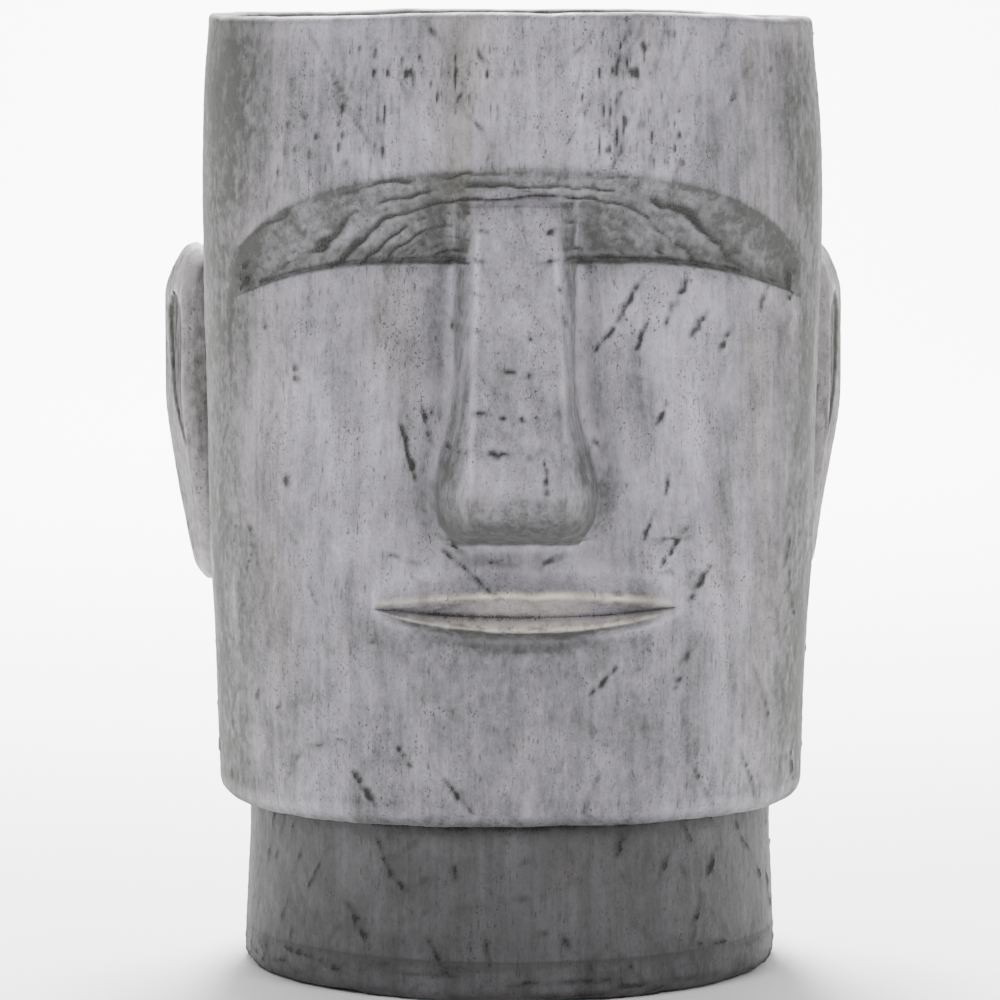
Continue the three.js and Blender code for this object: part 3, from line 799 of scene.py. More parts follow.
def rim_drop(x, forward):
    """How much lower than its highest place the hand-finished rim stands."""
    angle = np.arctan2(x, forward)
    side = 1.9 * smooth(30.0, 130.0, np.abs(x - 8.0)) + 1.2 * smooth(60.0, 125.0, x)
    side = side + 2.0 * smooth(20.0, 110.0, -forward)
    ripple = 0.9 * noise(angle * 3.0, 0.0, 0.0, 41) + 0.5 * noise(angle * 9.0, 0.0, 0.0, 42)
    return np.clip(0.5 + side + ripple, 0.05, 6.0)


def brow_band(x, z, face):
    """1 in the carved brow recess and 0 outside it."""
    rise = brow_share(x, z)
    off_nose = np.where(z <= NOSE_TOP, smooth(0.15, 0.7, nose_side(x, z)), 1.0)
    return face * between(rise, -0.06, -0.02, 0.92, 1.1) * smooth(0.0, 0.1, brow_fade(x)) * off_nose


def upper_lip_face(x, z):
    line = lip_line(x)
    top = lip_top(x)
    return between(z, line - 0.2, line + 0.6, top - 2.4, top - 0.6) * (mouth_swell(x) > 0.01)


# Patches darker, or below zero lighter: partly the paint's own tone, partly painted shade (the lower face,
# beside and under the nose, under the mouth, the temples) and painted highlights (where the softboxes shine
# on the left cheek and forehead): middle x and height above the jaw, half sizes, and how much.
TONE_SHADE_AND_HIGHLIGHT_PATCHES = (
    (-101, 180, 17, 38, -0.6), (-52, 103, 20, 9, -0.3), (-80, 322, 18, 30, -0.14),
    (-38, 150, 10, 75, 0.26), (-38, 222, 9, 22, 0.26), (-32, 318, 13, 50, 0.3), (-85, 220, 32, 12, 0.2),
    (-118, 330, 19, 60, 0.45), (0, 230, 17, 40, -0.1), (8, 322, 20, 32, -0.14), (5, 72, 52, 20, 0.3),
    (-8, 54, 34, 22, 0.2), (-55, 84, 18, 8, 0.3), (53, 53, 14, 14, 0.25), (0, 36, 130, 44, 0.3),
    (38, 146, 9, 24, 0.45), (66, 170, 20, 26, -0.16), (50, 96, 20, 12, -0.16), (97, 325, 18, 50, 0.32),
    (108, 165, 12, 30, -0.08), (118, 80, 12, 60, 0.28), (-80, 85, 30, 14, 0.16), (0, 112, 26, 9, 0.2),
)


def tone_shade_and_highlights(x, z):
    tones = np.zeros(x.shape)
    for middle_x, height, half_x, half_z, amount in TONE_SHADE_AND_HIGHLIGHT_PATCHES:
        tones = tones + amount * bell(x, middle_x, half_x) * bell(z, up(height), half_z)
    return tones


def nose_shade_and_rings(x, z, face, band):
    """Painted shade on the nose's flanks and underside and beside it, a painted shadow below it, and the dark
    rings across its front.
    """
    on_nose = face * nose_here(z)
    side = nose_side(x, z)
    flank = on_nose * between(side, 0.1, 0.5, 0.995, 1.0) * (1.0 - band)
    foot = flank * smooth(0.45, 0.95, side)
    gap = np.abs(x - NOSE_X) - eased(z, *NOSE_FOOT, 2.0)
    beside = on_nose * (side >= 1.0) * bell(gap, 0.0, 7.0)
    under = between(z, NOSE_BOTTOM - 6.0, NOSE_BOTTOM + 1.0, NOSE_TIP - 5.0, NOSE_TIP + 4.0)
    under = face * (side < 1.0) * under * lerp(1.0, 0.7, smooth(NOSE_BOTTOM + 1.0, NOSE_TIP - 2.0, z))
    below = face * bell(z, NOSE_BOTTOM - 4.0, 8.0) * (1.0 - smooth(20.0, 44.0, np.abs(x)))
    rings = sum(bell(z, ring - 0.03 * x, 1.3) for ring in NOSE_RINGS)
    rings = on_nose * (side < 0.05) * rings * smooth(-0.5, 0.4, noise(x / 9.0, z / 9.0, 0.0, 59))
    sides = np.maximum(0.56 * flank + 0.3 * foot, 1.15 * under)
    return sides + 0.72 * beside + 0.22 * rings + 0.4 * below


def mouth_shade(x, z):
    # Painted shadow under the lower lip, and painted shade on the upper lip's face, which faces down.
    swell = mouth_swell(x)
    low = lip_low(x)
    below_lip_shadow = between(z, low - 15.0, low - 5.0, low - 0.8, low + 0.2) * swell ** 0.8
    return 0.95 * below_lip_shadow + lerp(0.75, 0.42, swell ** 2) * upper_lip_face(x, z)


def head_shade_and_wash(grid, outside, face, band):
    """Darkening painted on the head, mostly painted shade with some of the paint's own tone: 0 for none, 1
    for the darkest, below 0 lighter.
    """
    x, forward, z = np.moveaxis(grid, -1, 0)
    # Painted shade in the brow recess, darkest in its lower corner, a little more on the right.
    brow_corner_shade = 1.0 - smooth(0.0, 0.35, brow_share(x, z))
    brow_recess_shade = (0.88 + 0.06 * smooth(20.0, 60.0, x) + 0.18 * brow_corner_shade) * band
    # The temples darker: partly painted shade where they turn from the lights, partly the paint's tone.
    temple_shade = outside * smooth(104.0, 130.0, np.abs(x)) * (1.0 - smooth(0.75 * HALF, HALF, -forward))
    # Painted shade under the jaw, and inside the cavity near the rim, which is partly the raw unpainted
    # inside.
    under_jaw_shade = outside * (1.0 - smooth(JAW + 1.0, JAW + 6.0, z))
    inside = (1.0 - outside) * smooth(RIM - 60.0, RIM - 40.0, z)
    # On the face: painted shadow and shade at the mouth, painted shade in the cheek creases, and the listed
    # patches of tone, shade and highlight.
    on_face = mouth_shade(x, z) + 0.15 * cheek_border(x, z) + tone_shade_and_highlights(x, z)
    shade_and_wash = brow_recess_shade + nose_shade_and_rings(x, z, face, band) + face * on_face
    shade_and_wash = shade_and_wash + 0.85 * temple_shade + 0.7 * under_jaw_shade + 0.85 * inside
    return np.clip(shade_and_wash, -0.6, 1.15)


def lip_cream(x, z, face):
    """The cream paint left on the lips: on the upper one's crest, where the light line is partly a painted
    highlight, and in dabs on the lower one.
    """
    swell = mouth_swell(x)
    ridge_highlight = bell(z, lip_top(x) + 1.0, 1.6)
    ridge_highlight = ridge_highlight * (0.6 + 0.4 * smooth(-0.4, 0.3, noise(x / 13.0, 0.0, 0.0, 51)))
    lower_lip = smooth(-0.1, 1.2, lip_line(x) - z) * (1.0 - smooth(-0.6, 0.5, lip_low(x) - z))
    blotch = noise(x / 5.0, z / 2.6, 0.0, 52) + 0.5 * noise(x / 1.6, z / 1.2, 0.0, 53)
    dabs = lower_lip * (0.32 + 0.3 * smooth(-0.35, 0.25, blotch))
    warm_lip = 0.22 * upper_lip_face(x, z) * smooth(0.7, 1.0, swell)
    return np.clip(0.9 * ridge_highlight + warm_lip + dabs, 0.0, 0.9) * face * swell ** 0.4


# Warm stripes in the paint: middle x, half width, then the heights above the jaw where they start and end.
TAN_STRIPES = (
    (-24, 11, 270, 352), (105, 8, 40, 215), (104, 6, 260, 340), (-105, 7, 60, 200), (-62, 12, 205, 228),
)


def tan_stripes(x, z):
    tan = np.zeros(x.shape)
    for middle, half_width, low, high in TAN_STRIPES:
        along = between(z, up(low - 15.0), up(low + 10.0), up(high - 10.0), up(high + 15.0))
        tan = np.maximum(tan, bell(x, middle, half_width) * along)
    return 0.75 * tan * smooth(-0.6, 0.3, noise(x / 9.0, z / 40.0, 0.0, 58))


# Larger cracks in the face, and pores of the same kind strung along the nose's rings: both ends as
# x and height above the jaw, then the half width.
FACE_CRACKS = (
    (48, 347, 45, 340, 1.1), (43, 334, 41.5, 326, 0.9), (43.5, 318, 42, 310, 1),
    (42, 303, 41, 288, 0.8), (-61, 341, -61.5, 334, 1), (-78, 318, -78, 309, 0.7),
    (-59, 300, -58.5, 290, 0.7), (32, 205, 41, 216, 1.1), (43, 219, 54, 238, 1),
    (51, 207, 56, 218, 1.3), (64, 218, 73, 236, 1.3), (75, 212, 82, 222, 1.2), (88, 205, 92, 214, 0.9),
    (106, 222, 110, 237, 0.9), (60, 175, 64.5, 183, 1.2), (63.5, 144, 65, 153, 0.9),
    (54, 125, 58, 137, 0.9), (62, 114, 72, 129, 1.3), (74, 98, 83, 112, 1.3), (117, 108, 120, 121, 0.8),
    (-110, 214, -110.5, 223, 1), (-96, 192, -97.5, 201, 1.1), (-100, 146, -100, 152, 1.3),
    (-117, 127, -113, 109, 0.9), (-91, 104, -87, 96, 1.1), (-51, 175, -45, 152, 1.2),
    (-42, 184, -38.5, 168, 1), (-33, 121, -22, 112, 1), (-22, 112, -9, 101, 0.9),
    (-58, 42, -47, 27, 1.2), (-72, 24, -62, 9, 1.2), (-33, 22, -20, 7, 1.1), (30, 58, 42, 70, 1),
    (68, 60, 74, 76, 0.9),
)
NOSE_PORES = (
    (-17, 259.2, -14, 258.7, 0.8), (11.5, 257.6, 15, 260.1, 0.9), (-19.3, 246.6, -16.1, 245.9, 0.7),
    (8.9, 245.4, 15.8, 246.3, 0.8), (-20.4, 232.9, -15.6, 231.4, 1.1), (16.4, 234.5, 17.4, 233.2, 0.7),
    (20.6, 234, 21.6, 231.5, 0.8), (18.7, 222.5, 19.3, 219.5, 0.8), (-19.3, 217.2, -18, 216.8, 0.6),
    (-5, 213.6, -4, 213.2, 0.8), (3.6, 214.2, 4.6, 213.6, 0.8), (-7.6, 200.6, -2.8, 199.5, 1),
    (2.5, 198, 3.8, 198.3, 0.7), (-20.6, 182.6, -14.5, 183.4, 1.2), (-8.8, 181, -7.2, 180.4, 1.1),
    (-0.8, 180.2, 1, 180, 1.2), (6.2, 180.8, 7.2, 180.4, 0.7), (13.8, 182.4, 16.2, 183.6, 1),
    (-14, 166.4, -6.2, 165.6, 1.1), (2.4, 164.4, 3.6, 164, 0.8), (6, 166.2, 9.8, 167.8, 1),
    (16.8, 168.3, 18.2, 169, 1), (9.5, 163.5, 10.2, 149.5, 1.3), (-27, 166, -23.8, 166, 1.2),
    (-31, 167.6, -30, 166.4, 0.9), (32.6, 168, 34.6, 166, 1.1), (-34.6, 180, -33.8, 177.6, 1.1),
    (-34.4, 203.6, -33, 201, 1.2), (-38.4, 182, -37.4, 179.4, 1), (-28.8, 220, -27.8, 216, 0.8),
)


def head_cuts(x, z, band):
    """The cracks, the mouth's crease, the brow's ends, a line of painted shade in the corner above the ledge,
    and the short dashes in the forehead.
    """
    swell = mouth_swell(x)
    opening = 0.7 + 0.8 * smooth(20.0, -25.0, x)
    crease = opening * swell ** 0.3 - np.abs(z - lip_line(x) - 0.4) + 0.5 * noise(x / 3.0, 0.0, 0.0, 54)
    crease = np.where(swell > 0.0, crease, NO_CUT)
    end_x = BROW_HALF - 7.0
    brow_ends = 3.2 - np.hypot((np.abs(x) - end_x) / 0.9, (z - brow_low(end_x) - 5.0) / 3.0)
    brow_ends = brow_ends + 2.6 * noise(x / 1.6, z / 2.4, 0.0, 55) - 1.6
    # Painted shade: a dark broken line in the concave corner just above the ledge.
    ledge_corner_shade = 0.6 - np.abs(z - brow_low(x) - 0.7) + 0.9 * noise(x / 7.0, 0.0, 0.0, 57)
    ledge_corner_shade = np.where((band > 0.5) & (np.abs(x) < 0.9 * BROW_HALF), ledge_corner_shade, NO_CUT)
    clustered = smooth(-0.4, 0.5, noise(x / 26.0, z / 34.0, 0.0, 47))
    above_brow = smooth(0.0, 8.0, z - brow_top(x))
    broken = 0.75 + 0.25 * noise(x / 1.1, z / 2.7, 0.0, 45)
    dashes = broken * noise(x / 1.5, z / 5.5, 0.0, 46) - lerp(1.2, 0.55, above_brow * clustered)
    dashes = np.where((above_brow > 0.5) & (np.abs(x) < 112.0), np.minimum(4.0 * dashes, 0.7), NO_CUT)
    cracks = marks(x, z, FACE_CRACKS + NOSE_PORES, JAW, 56)
    return np.max(np.stack([cracks, crease, brow_ends, ledge_corner_shade, dashes]), axis=0)


def nose_arris_highlight(x, z):
    """The two worn edges of the nose's flat front, lightened: pale worn paint, partly a painted highlight."""
    along = between(z, NOSE_TIP - 1.0, NOSE_TIP + 6.0, up(255), up(267))
    worn = 1.3 + 0.5 * noise(np.sign(x) * 5.0, 0.0, z / 16.0, 48)
    return bell(np.abs(x - NOSE_X), np.interp(z, *NOSE_EDGE), 1.3) * along * worn


def build_head():
    grid, outside = head_grid()
    x, forward, z = np.moveaxis(grid, -1, 0)
    face = outside * (forward > 10.0)
    band = brow_band(x, z, face)
    shade_and_wash = head_shade_and_wash(grid, outside, face, band)
    step, groove = brow_grooves(x, z, band)
    cuts = np.maximum(np.where(face > 0.0, head_cuts(x, z, band), NO_CUT), groove)
    bulge = 1.6 * smooth(60.0, HALF, x) * between(z, up(60), up(120), up(280), up(340))
    grid = grid + np.stack([bulge * outside, step * outside, np.zeros_like(x)], axis=-1)
    carved = outside * between(z, JAW + 8.0, JAW + 14.0, RIM - 12.0, RIM - 7.0)
    nose_corner = bell(z, NOSE_BOTTOM + 1.0, 5.0) * (1.0 - smooth(36.0, 46.0, np.abs(x)))
    grid = lerp(grid, blurred(grid, 2, True), 0.5 * carved[..., None])
    grid = lerp(grid, blurred(grid, 4, True), (nose_corner * carved)[..., None])
    grid, fields = weather(grid, True, outside, shade_and_wash, cuts)
    fields["cream"] = lip_cream(x, z, face)
    tan = tan_stripes(x, z) * outside * (grid[..., 1] > 0.0)
    at_side = outside * smooth(85.0, 125.0, np.abs(x))
    fields["tan"] = np.maximum(tan, 0.35 * at_side)
    fields["shade_and_wash"] = fields["shade_and_wash"] + 0.16 * tan
    ledge = bell(z, brow_low(x) - 1.0, 2.5) * smooth(0.0, 0.1, brow_fade(x))
    under_nose = between(z, NOSE_BOTTOM - 4.0, NOSE_BOTTOM, NOSE_TIP, NOSE_TIP + 4.0)
    under_nose = under_nose * (1.0 - smooth(34.0, 40.0, np.abs(x - NOSE_X)))
    plain = (1.0 - 0.85 * ledge * face) * (1.0 - 0.85 * under_nose * face)
    fields["edge"] = fields["edge"] * plain + nose_arris_highlight(x, z) * face
    drop = rim_drop(grid[..., 0], grid[..., 1])
    grid[..., 2] = grid[..., 2] - drop * smooth(RIM - 45.0, RIM, grid[..., 2])
    make_piece("head", to_frame(grid), True, carved_stone, "planter", "head_shell", fields)


# ---- neck, lining, sleeve and plug, turned round the neck's axis ---------------------------------
def turned_grid(points, steps):
    """Rows from [radius, z] points, turned anticlockwise from the left side."""
    angle = np.linspace(-math.pi, math.pi, steps, endpoint=False)[None, :]
    radius = np.array([r for r, _ in points], float)[:, None]
    z = np.array([h for _, h in points], float)[:, None]
    return np.stack([radius * np.cos(angle), -radius * np.sin(angle), z + 0 * angle], axis=-1)


def stepped(start, end, size):
    """Points from start to just short of end, about size apart."""
    count = max(1, round(math.dist(start, end) / size))
    return [(lerp(start[0], end[0], i / count), lerp(start[1], end[1], i / count)) for i in range(count)]


def outline_points(corners, size):
    """A closed profile's corners with points filled in between them."""
    points = []
    for start, end in zip(corners, corners[1:] + corners[:1]):
        points += stepped(start, end, size)
    return points


NECK_FOOT = neck_high.x
NECK_TOP = NECK_FOOT - 2.4
SPIGOT_TOP = neck_high.z
SPIGOT = 107.7
NECK_INNER = 104.0
NECK_FLOOR = 20.0
RECESS_UP = 6.0
sleeve_low, sleeve_high = (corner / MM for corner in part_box("drain_sleeve"))
SLEEVE_OUTER = 12.0
FLANGE = sleeve_high.x


def neck_profile():
    """The neck's outside from the foot up, finely stepped, then its top, inside, floor and underside."""
    foot_round = 7.0
    turns = np.linspace(0.0, math.pi / 2, 9)
    foot = [(NECK_FOOT - foot_round * (1 - math.sin(t)), foot_round * (1 - math.cos(t))) for t in turns]
    side_z = np.linspace(foot_round, JAW - GAP, 58)[1:]
    side_radius = eased(side_z, [10, 34, 58], [NECK_FOOT, NECK_FOOT - 1.2, NECK_TOP], 8.0)
    side = list(zip(side_radius.tolist(), side_z.tolist()))
    hidden = [
        (SPIGOT, JAW - GAP), (SPIGOT, SPIGOT_TOP), (NECK_INNER, SPIGOT_TOP), (NECK_INNER, NECK_FLOOR),
        (SLEEVE_OUTER + GAP, NECK_FLOOR), (SLEEVE_OUTER + GAP, RECESS_UP), (91.0, RECESS_UP), (94.0, 0.0),
    ]
    return foot + side + hidden, len(foot) + len(side)


NECK_CRACKS = (  # both ends as x and height, then the half width
    (-61, 70, -56.5, 58, 1.5), (-56.5, 58, -48, 48, 1.2), (-74, 40, -65, 22, 1.4),
    (-39, 27, -32, 14, 1), (-28, 60, -27, 54, 1.1), (-14, 27, -13, 17, 0.9), (-102, 15.5, -90, 14, 1.1),
    (-90, 14, -77, 10, 1.3), (45.5, 73, 43, 64, 1.7), (67, 62, 61, 50, 1), (89, 61, 84, 50, 1),
    (81, 42, 77, 22, 1.3), (77, 21, 93, 19, 1.1), (19, 30, 22, 24, 0.8), (30, 18, 33, 13, 0.9),
)


def build_neck():
    points, shown_rows = neck_profile()
    grid = turned_grid(points, 640)
    outside = np.zeros(grid.shape[:2])
    outside[:shown_rows] = 1.0
    x, forward, z = np.moveaxis(grid, -1, 0)
    arc = np.arctan2(x, forward) * NECK_FOOT
    near_foot = outside * (1.0 - smooth(8.0, 20.0, z))
    # Painted shade: darker towards the top under the jaw, and at the sides turned from the lights.
    seam = outside * smooth(JAW - 9.0, JAW - 1.0, z)
    at_side = outside * smooth(60.0, 118.0, np.abs(x))
    shade_and_wash = np.clip(0.7 * seam + 0.42 * at_side - 0.1 * near_foot, -0.3, 1.2)
    chips = noise(arc / 16.0, 0.0, z / 3.0, 61) + 0.5 * noise(arc / 4.0, 0.0, z / 2.0, 62)
    chips = np.where(near_foot > 0.05, 1.8 * (chips - 0.75) * near_foot, NO_CUT)
    # A dark ragged line just under the jaw: painted shade in the gap between head and neck.
    crevice_shade = 0.7 + 0.9 * noise(arc / 6.0, 0.0, 0.0, 65) - (JAW - GAP - z) / 2.0
    crevice_shade = np.where(outside > 0.5, crevice_shade, NO_CUT)
    cuts = np.where(outside * (forward > 0.0) > 0.5, marks(x, z, NECK_CRACKS, 0.0, 63), NO_CUT)
    cuts = np.maximum(np.maximum(cuts, chips), crevice_shade)
    lump = 0.55 * near_foot * fractal(arc / 14.0, 0.0, z / 8.0, 64)
    grid = grid + grid_normals(grid, True) * lump[..., None]
    grid, fields = weather(grid, True, outside, shade_and_wash, cuts, crust=0.1)
    fields["tan"] = 0.3 * at_side
    notch_turn = math.pi / 4  # from one weep notch in the rear half of the foot to the next
    notch_height = 4.0
    turn = np.arctan2(-forward, x) / notch_turn
    to_notch = np.abs(turn - np.floor(turn) - 0.5) * notch_turn * 105.0
    in_foot = (forward < 0.0) * (grid[..., 2] < notch_height) * (np.hypot(x, forward) > 92.5)
    notches = notch_height * (1.0 - smooth(4.2, 5.4, to_notch)) * in_foot
    grid[..., 2] = np.maximum(grid[..., 2], notches)
    make_piece("neck", to_frame(grid), True, neck_stone, "planter", "neck_base", fields)


def mesh_weave(u, v):
    """The square grid of the glass mesh, from 0 between the strands to 1 on them."""
    pitch = 5.0
    strands = [bell(place, np.round(place / pitch) * pitch, 0.8) for place in (u, v)]
    return np.maximum(*strands)


def build_neck_coat():
    outer = NECK_INNER - GAP
    inner = outer - LINING
    low = NECK_FLOOR + GAP
    top = low + LINING
    hole = FLANGE + GAP
    corners = [
        (hole, low), (outer, low), (outer, SPIGOT_TOP), (inner, SPIGOT_TOP),
        (inner, top + 8.0), (inner - 2.0, top + 3.0), (inner - 8.0, top), (hole, top),
    ]
    grid = turned_grid(outline_points(corners, 1.8), 300)
    coat_piece("neck_coat", grid, "neck_lining", top)


def build_head_coat():
    levels = np.concatenate([np.linspace(RIM - 6.0, up(300), 28), np.linspace(up(296), up(22), 150)])
    outer = [cavity_ring(z, GAP) for z in levels[::12]][::-1]
    inner = [cavity_ring(z, GAP + LINING) for z in levels]
    coat_piece("head_coat", np.concatenate([*outer, *inner]), "head_lining", None, len(outer))


def coat_piece(name, grid, node, floor_top, hidden_rows=0):
    x, forward, z = np.moveaxis(grid, -1, 0)
    radius = np.hypot(x, forward)
    arc = np.arctan2(x, forward) * 105.0
    flat = (z <= floor_top + 0.5) if floor_top else np.zeros(z.shape, bool)
    weave = np.where(flat, mesh_weave(x, forward), mesh_weave(arc, z))
    normal = grid_normals(grid, True)
    inward = np.clip(-(normal[..., 0] * x + normal[..., 1] * forward) / np.maximum(radius, 1.0), 0.0, 1.0)
    shown = np.maximum(inward, np.clip(normal[..., 2], 0.0, 1.0))
    shown[:hidden_rows] = 0.0
    lumps = 0.5 * fractal(x / 16.0, forward / 16.0, z / 16.0, 71) - 0.3
    grid = grid + normal * ((0.35 * weave + lumps) * shown)[..., None]
    fields = {"weave": weave}
    make_piece(name, to_frame(grid), True, mesh_lining, "planter", node, fields)


def build_sleeve():
    bore = 9.0
    low, high = sleeve_low.z, sleeve_high.z
    flange_low = high - 2.0
    corners = [
        (bore + 0.5, low), (SLEEVE_OUTER - 0.5, low), (SLEEVE_OUTER, low + 0.5), (SLEEVE_OUTER, flange_low),
        (FLANGE - 0.4, flange_low), (FLANGE, flange_low + 0.4), (FLANGE, high - 0.7), (FLANGE - 0.7, high),
        (bore + 0.8, high), (bore, high - 0.8), (bore, low + 0.5),
    ]
    grid = to_frame(turned_grid(outline_points(corners, 0.9), 120))
    make_piece("sleeve", grid, True, sleeve_plastic, "planter", "drain_sleeve")


def build_plug():
    low, high = (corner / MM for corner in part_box("drain_plug"))
    seat = sleeve_high.z + GAP
    cap = high.x
    top = seat + 3.0
    loop_radius = 6.0
    wire = 1.6
    profile = [
        (0.4, low.z), (6.9, low.z), (7.6, low.z + 0.7), (7.9, low.z + 5.0), (7.5, low.z + 5.6),
        (8.1, low.z + 6.4), (8.3, seat - 4.0), (7.9, seat - 3.2), (8.6, seat - 2.2), (8.6, seat),
        (cap - 0.5, seat), (cap, seat + 0.5), (cap, top - 1.2), (cap - 0.5, top - 0.4), (cap - 1.5, top),
        (9.0, top + 0.05), (8.0, top - 0.6), (4.0, top - 0.5), (0.4, top - 0.5),
    ]
    points = []
    for start, end in itertools.pairwise(profile):
        points += stepped(start, end, 0.5)
    body = turned_grid(points + [profile[-1]], 120)
    turn = np.linspace(0.0, 2 * math.pi, 64, endpoint=False)[:, None]
    round_wire = np.linspace(0.0, 2 * math.pi, 20, endpoint=False)[None, :]
    reach = loop_radius + wire * np.cos(round_wire)
    loop_z = high.z - loop_radius - wire + reach * np.sin(turn)
    loop = np.stack([reach * np.cos(turn), wire * np.sin(round_wire) + 0 * turn, loop_z], axis=-1)
    for name, grid, wrap_rows in (("plug", body, False), ("plug_loop", loop, True)):
        make_piece(name, to_frame(grid), wrap_rows, plug_rubber, "plug", "drain_plug")


# ---- ears ----------------------------------------------------------------------------------------
EAR_ROUND_IN = 3.0  # the tapered outline stays this far inside its own front and rear limits
# Reaches forward of the axis, so below zero: the ears sit behind it.
EAR_FRONT = AXIS_Y - ear_low.y + EAR_ROUND_IN
EAR_REAR = AXIS_Y - ear_high.y - EAR_ROUND_IN
EAR_LOW = ear_low.z
EAR_TOP = ear_high.z
EAR_OUT = ear_high.x
EAR_COLUMNS = 200


def ear_face(forward, z):
    """How far the ear's outer face stands from the middle of the head."""
    back = np.clip((EAR_FRONT - forward) / (EAR_FRONT - EAR_REAR), 0.0, 1.0)
    low = lerp(EAR_OUT - 9.0, EAR_OUT + 1.5, smooth(EAR_LOW, EAR_TOP - 67.0, z))
    rear = lerp(low, EAR_OUT - 7.0, smooth(EAR_TOP - 30.0, EAR_TOP + 8.0, z))
    return rear - 11.0 * (1.0 - back)


def ear_place(angle, share):
    """A place on the ear's side view: share 0 is its middle and 1 its outline."""
    power = 3.0
    c = np.cos(angle)
    s = np.sin(angle)
    radius = share * (np.abs(c) ** power + np.abs(s) ** power) ** (-1.0 / power)
    rise = 0.5 + 0.5 * s * radius
    narrow = 1.0 - 0.3 * (1.0 - rise)
    back = 0.5 + 0.5 * c * radius * narrow
    return lerp(EAR_FRONT, EAR_REAR, back), lerp(EAR_LOW, EAR_TOP, rise)


def concha(forward, z):
    """The ear's hollow: how far inside it a place is, from 0 at its edge to 1, and how deep its floor is.

    It is a drop with a straight front edge, a round top, and its tip at the bottom of the front edge.
    """
    width = EAR_FRONT - EAR_REAR
    back = (EAR_FRONT - forward) / width
    rise = (z - (EAR_LOW + 62.0)) / 70.0
    held = np.clip(rise, 0.0, 1.0)
    wide = 0.74 * held ** 0.6 * (1.0 - 0.1 * held)
    end = np.sqrt(1.0 - (np.clip(rise - 0.78, 0.0, 0.22) / 0.22) ** 2)
    front_edge = 0.12
    middle = front_edge + wide / 2.0
    from_edge = (end * wide / 2.0 - np.abs(back - middle)) * width
    inside = smooth(-0.3, 2.4, from_edge) * (rise > 0.0) * (rise < 1.0)
    return inside, inside * (0.7 + 1.5 * np.clip(back - front_edge, 0.0, 0.7) / 0.7)


def ear_points(side):
    """The ear's grid: from the middle of its outer face to its outline, then in to the head."""
    angle = np.linspace(0.0, 2 * math.pi, EAR_COLUMNS, endpoint=False)[None, :]
    face_share = np.linspace(0.02, 1.0, 52)[:, None] ** 0.85
    forward, z = ear_place(angle, face_share)
    bevel = 5.0
    rim = np.clip((face_share - 0.86) / 0.14, 0.0, 1.0) ** 2.4 * bevel
    hollow, depth = concha(forward, z)
    out = ear_face(forward, z) - rim - depth
    face = np.stack([out, forward, z], axis=-1)
    edge_forward, edge_z = ear_place(angle, np.array([[1.0]]))
    head_half, _, head_rear = section(edge_z)
    plan = np.clip(np.abs(edge_forward) / head_rear, 0.0, 1.0)
    head_out = head_half * (1.0 - plan ** REAR_POWER) ** (1.0 / REAR_POWER) - 2.0
    wall_share = np.linspace(0.0, 1.0, 26)[1:, None]
    wall_out = lerp(out[-1:], head_out, wall_share)
    wall = np.stack([wall_out, edge_forward + 0 * wall_share, edge_z + 0 * wall_share], axis=-1)
    inner_forward, inner_z = ear_place(angle, np.linspace(0.9, 0.1, 6)[:, None])
    inner = np.stack([head_out + 0 * inner_forward, inner_forward, inner_z], axis=-1)
    inner[..., 0] = np.minimum(inner[..., 0], head_out.min())
    grid = np.concatenate([face, wall, inner])
    near_head = 1.0 - smooth(EAR_OUT - 22.0, EAR_OUT - 8.0, grid[..., 0])
    grid[..., 2] -= 6.0 * near_head * smooth(EAR_TOP - 30.0, EAR_TOP, grid[..., 2])
    grid[..., 0] *= side
    shown = np.ones(grid.shape[:2])
    shown[-6:] = 0.0
    to_seam = np.concatenate([np.zeros(len(face)), wall_share[:, 0], np.ones(6)])[:, None]
    seam = smooth(0.45, 0.95, to_seam) * np.ones(grid.shape[:2])
    hollowed = np.concatenate([hollow, np.zeros((len(wall) + 6, EAR_COLUMNS))])
    return grid, shown, seam, hollowed


def build_ear(name, node, side, seed):
    grid, shown, seam, hollow = ear_points(side)
    if side < 0:
        grid = grid[:, ::-1]
        shown, seam, hollow = shown[:, ::-1], seam[:, ::-1], hollow[:, ::-1]
    x, forward, z = np.moveaxis(grid, -1, 0)
    mortar = seam * smooth(-0.3, 0.4, noise(0.0 * x, forward / 12.0, z / 18.0, seed))
    # The ear is darkened all over as painted shade, and its hollow more as painted shade in the recess; the
    # seam's mortar is darker too.
    shade_and_wash = np.clip(0.85 * shown + 0.4 * hollow + 0.2 * mortar, 0.0, 1.2)
    crust = np.where(mortar > 0.3, 1.6 * fractal(x / 3.0, forward / 3.0, z / 4.0, seed + 2) - 0.25, NO_CUT)
    scratch = np.where(hollow > 0.6, 2.0 * noise(x / 2.0, forward / 1.6, z / 12.0, seed + 3) - 0.7, NO_CUT)
    cuts = np.maximum(crust, scratch)
    grid, fields = weather(grid, False, shown, shade_and_wash, cuts)
    fields["tan"] = 0.6 * shown
    make_piece(name, to_frame(grid), False, carved_stone, "planter", node, fields)


build_head()
build_head_coat()
build_ear("ear_left", "left_ear", -1.0, 81)
build_ear("ear_right", "right_ear", 1.0, 91)
build_neck()
build_neck_coat()
build_sleeve()
build_plug()


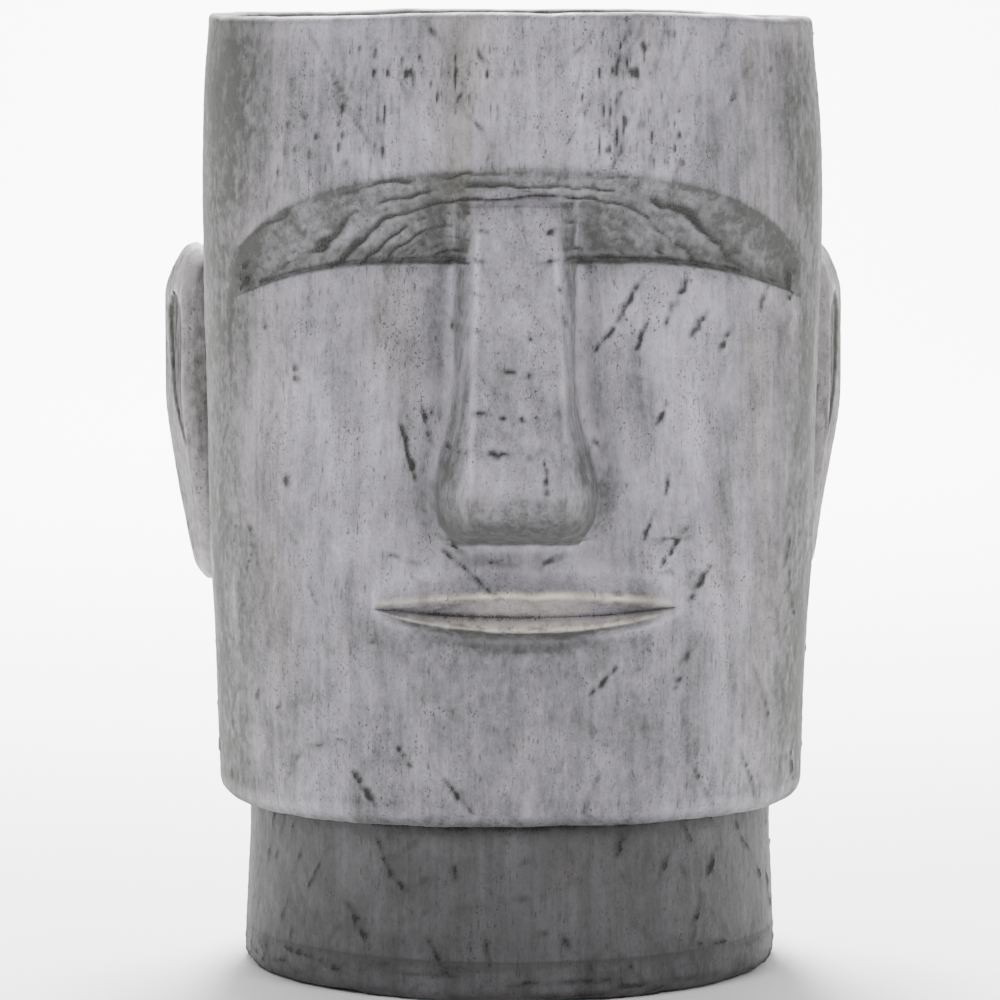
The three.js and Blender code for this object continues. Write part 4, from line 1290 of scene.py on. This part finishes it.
# ---- studio --------------------------------------------------------------------------------------
def build_stage():
    """A pale floor that curves up into a backdrop."""
    width = 8.0
    bend = 1.2
    back = 3.0
    profile = [(-6.0, 0.0), (back, 0.0)]
    for i in range(1, 13):
        turn = math.pi / 2 * i / 12
        profile.append((back + bend * math.sin(turn), bend * (1 - math.cos(turn))))
    profile.append((back + bend, 6.0))
    mesh = bpy.data.meshes.new("studio_floor")
    points = [(x, y, z) for y, z in profile for x in (-width, width)]
    faces = [(2 * i, 2 * i + 1, 2 * i + 3, 2 * i + 2) for i in range(len(profile) - 1)]
    mesh.from_pydata(points, [], faces)
    mesh.polygons.foreach_set("use_smooth", [True] * len(mesh.polygons))
    tree = Tree("studio_floor")
    tree.shader.inputs["Base Color"].default_value = rgb(0.93, 0.93, 0.93)
    tree.shader.inputs["Roughness"].default_value = 0.9
    mesh.materials.append(tree.material)
    floor = bpy.data.objects.new("studio_floor", mesh)
    bpy.context.scene.collection.objects.link(floor)


def build_light(name, place, width, length, power, target=(0.0, 0.0, 0.24)):
    lamp = bpy.data.lights.new(name, "AREA")
    lamp.shape = "RECTANGLE"
    lamp.size = width
    lamp.size_y = length
    lamp.energy = power
    light = bpy.data.objects.new(name, lamp)
    bpy.context.scene.collection.objects.link(light)
    light.location = place
    aim = Vector(target) - Vector(place)
    light.rotation_euler = aim.to_track_quat("-Z", "Y").to_euler()


def build_camera():
    """The camera stands a little to the left and above, and looks slightly down at the face."""
    distance = 2.6
    turn = math.radians(-2.0)
    pitch = math.radians(5.925)
    data = bpy.data.cameras.new("camera")
    data.sensor_width = 36.0
    data.lens = 208.2
    data.shift_x = -0.0095
    data.clip_end = 50.0
    camera = bpy.data.objects.new("camera", data)
    bpy.context.scene.collection.objects.link(camera)
    axis_y = AXIS_Y * MM
    camera.location = (distance * math.sin(turn), axis_y - distance * math.cos(turn), up(400) * MM)
    camera.rotation_euler = (math.pi / 2 - pitch, 0.0, turn)
    bpy.context.scene.camera = camera


build_stage()
build_light("left_softbox", (-1.6, -2.1, 2.5), 1.2, 1.2, 52.0)
build_light("right_softbox", (1.8, -2.1, 2.3), 1.2, 1.2, 44.0)
build_light("backdrop_light", (0.0, 2.4, 2.6), 0.7, 3.2, 800.0, (0.0, 3.0, 0.0))
build_camera()

world = bpy.data.worlds.new("studio")
bpy.context.scene.world = world
world.use_nodes = True
world.node_tree.nodes["Background"].inputs["Color"].default_value = rgb(1.0, 1.0, 1.0)
world.node_tree.nodes["Background"].inputs["Strength"].default_value = 0.3
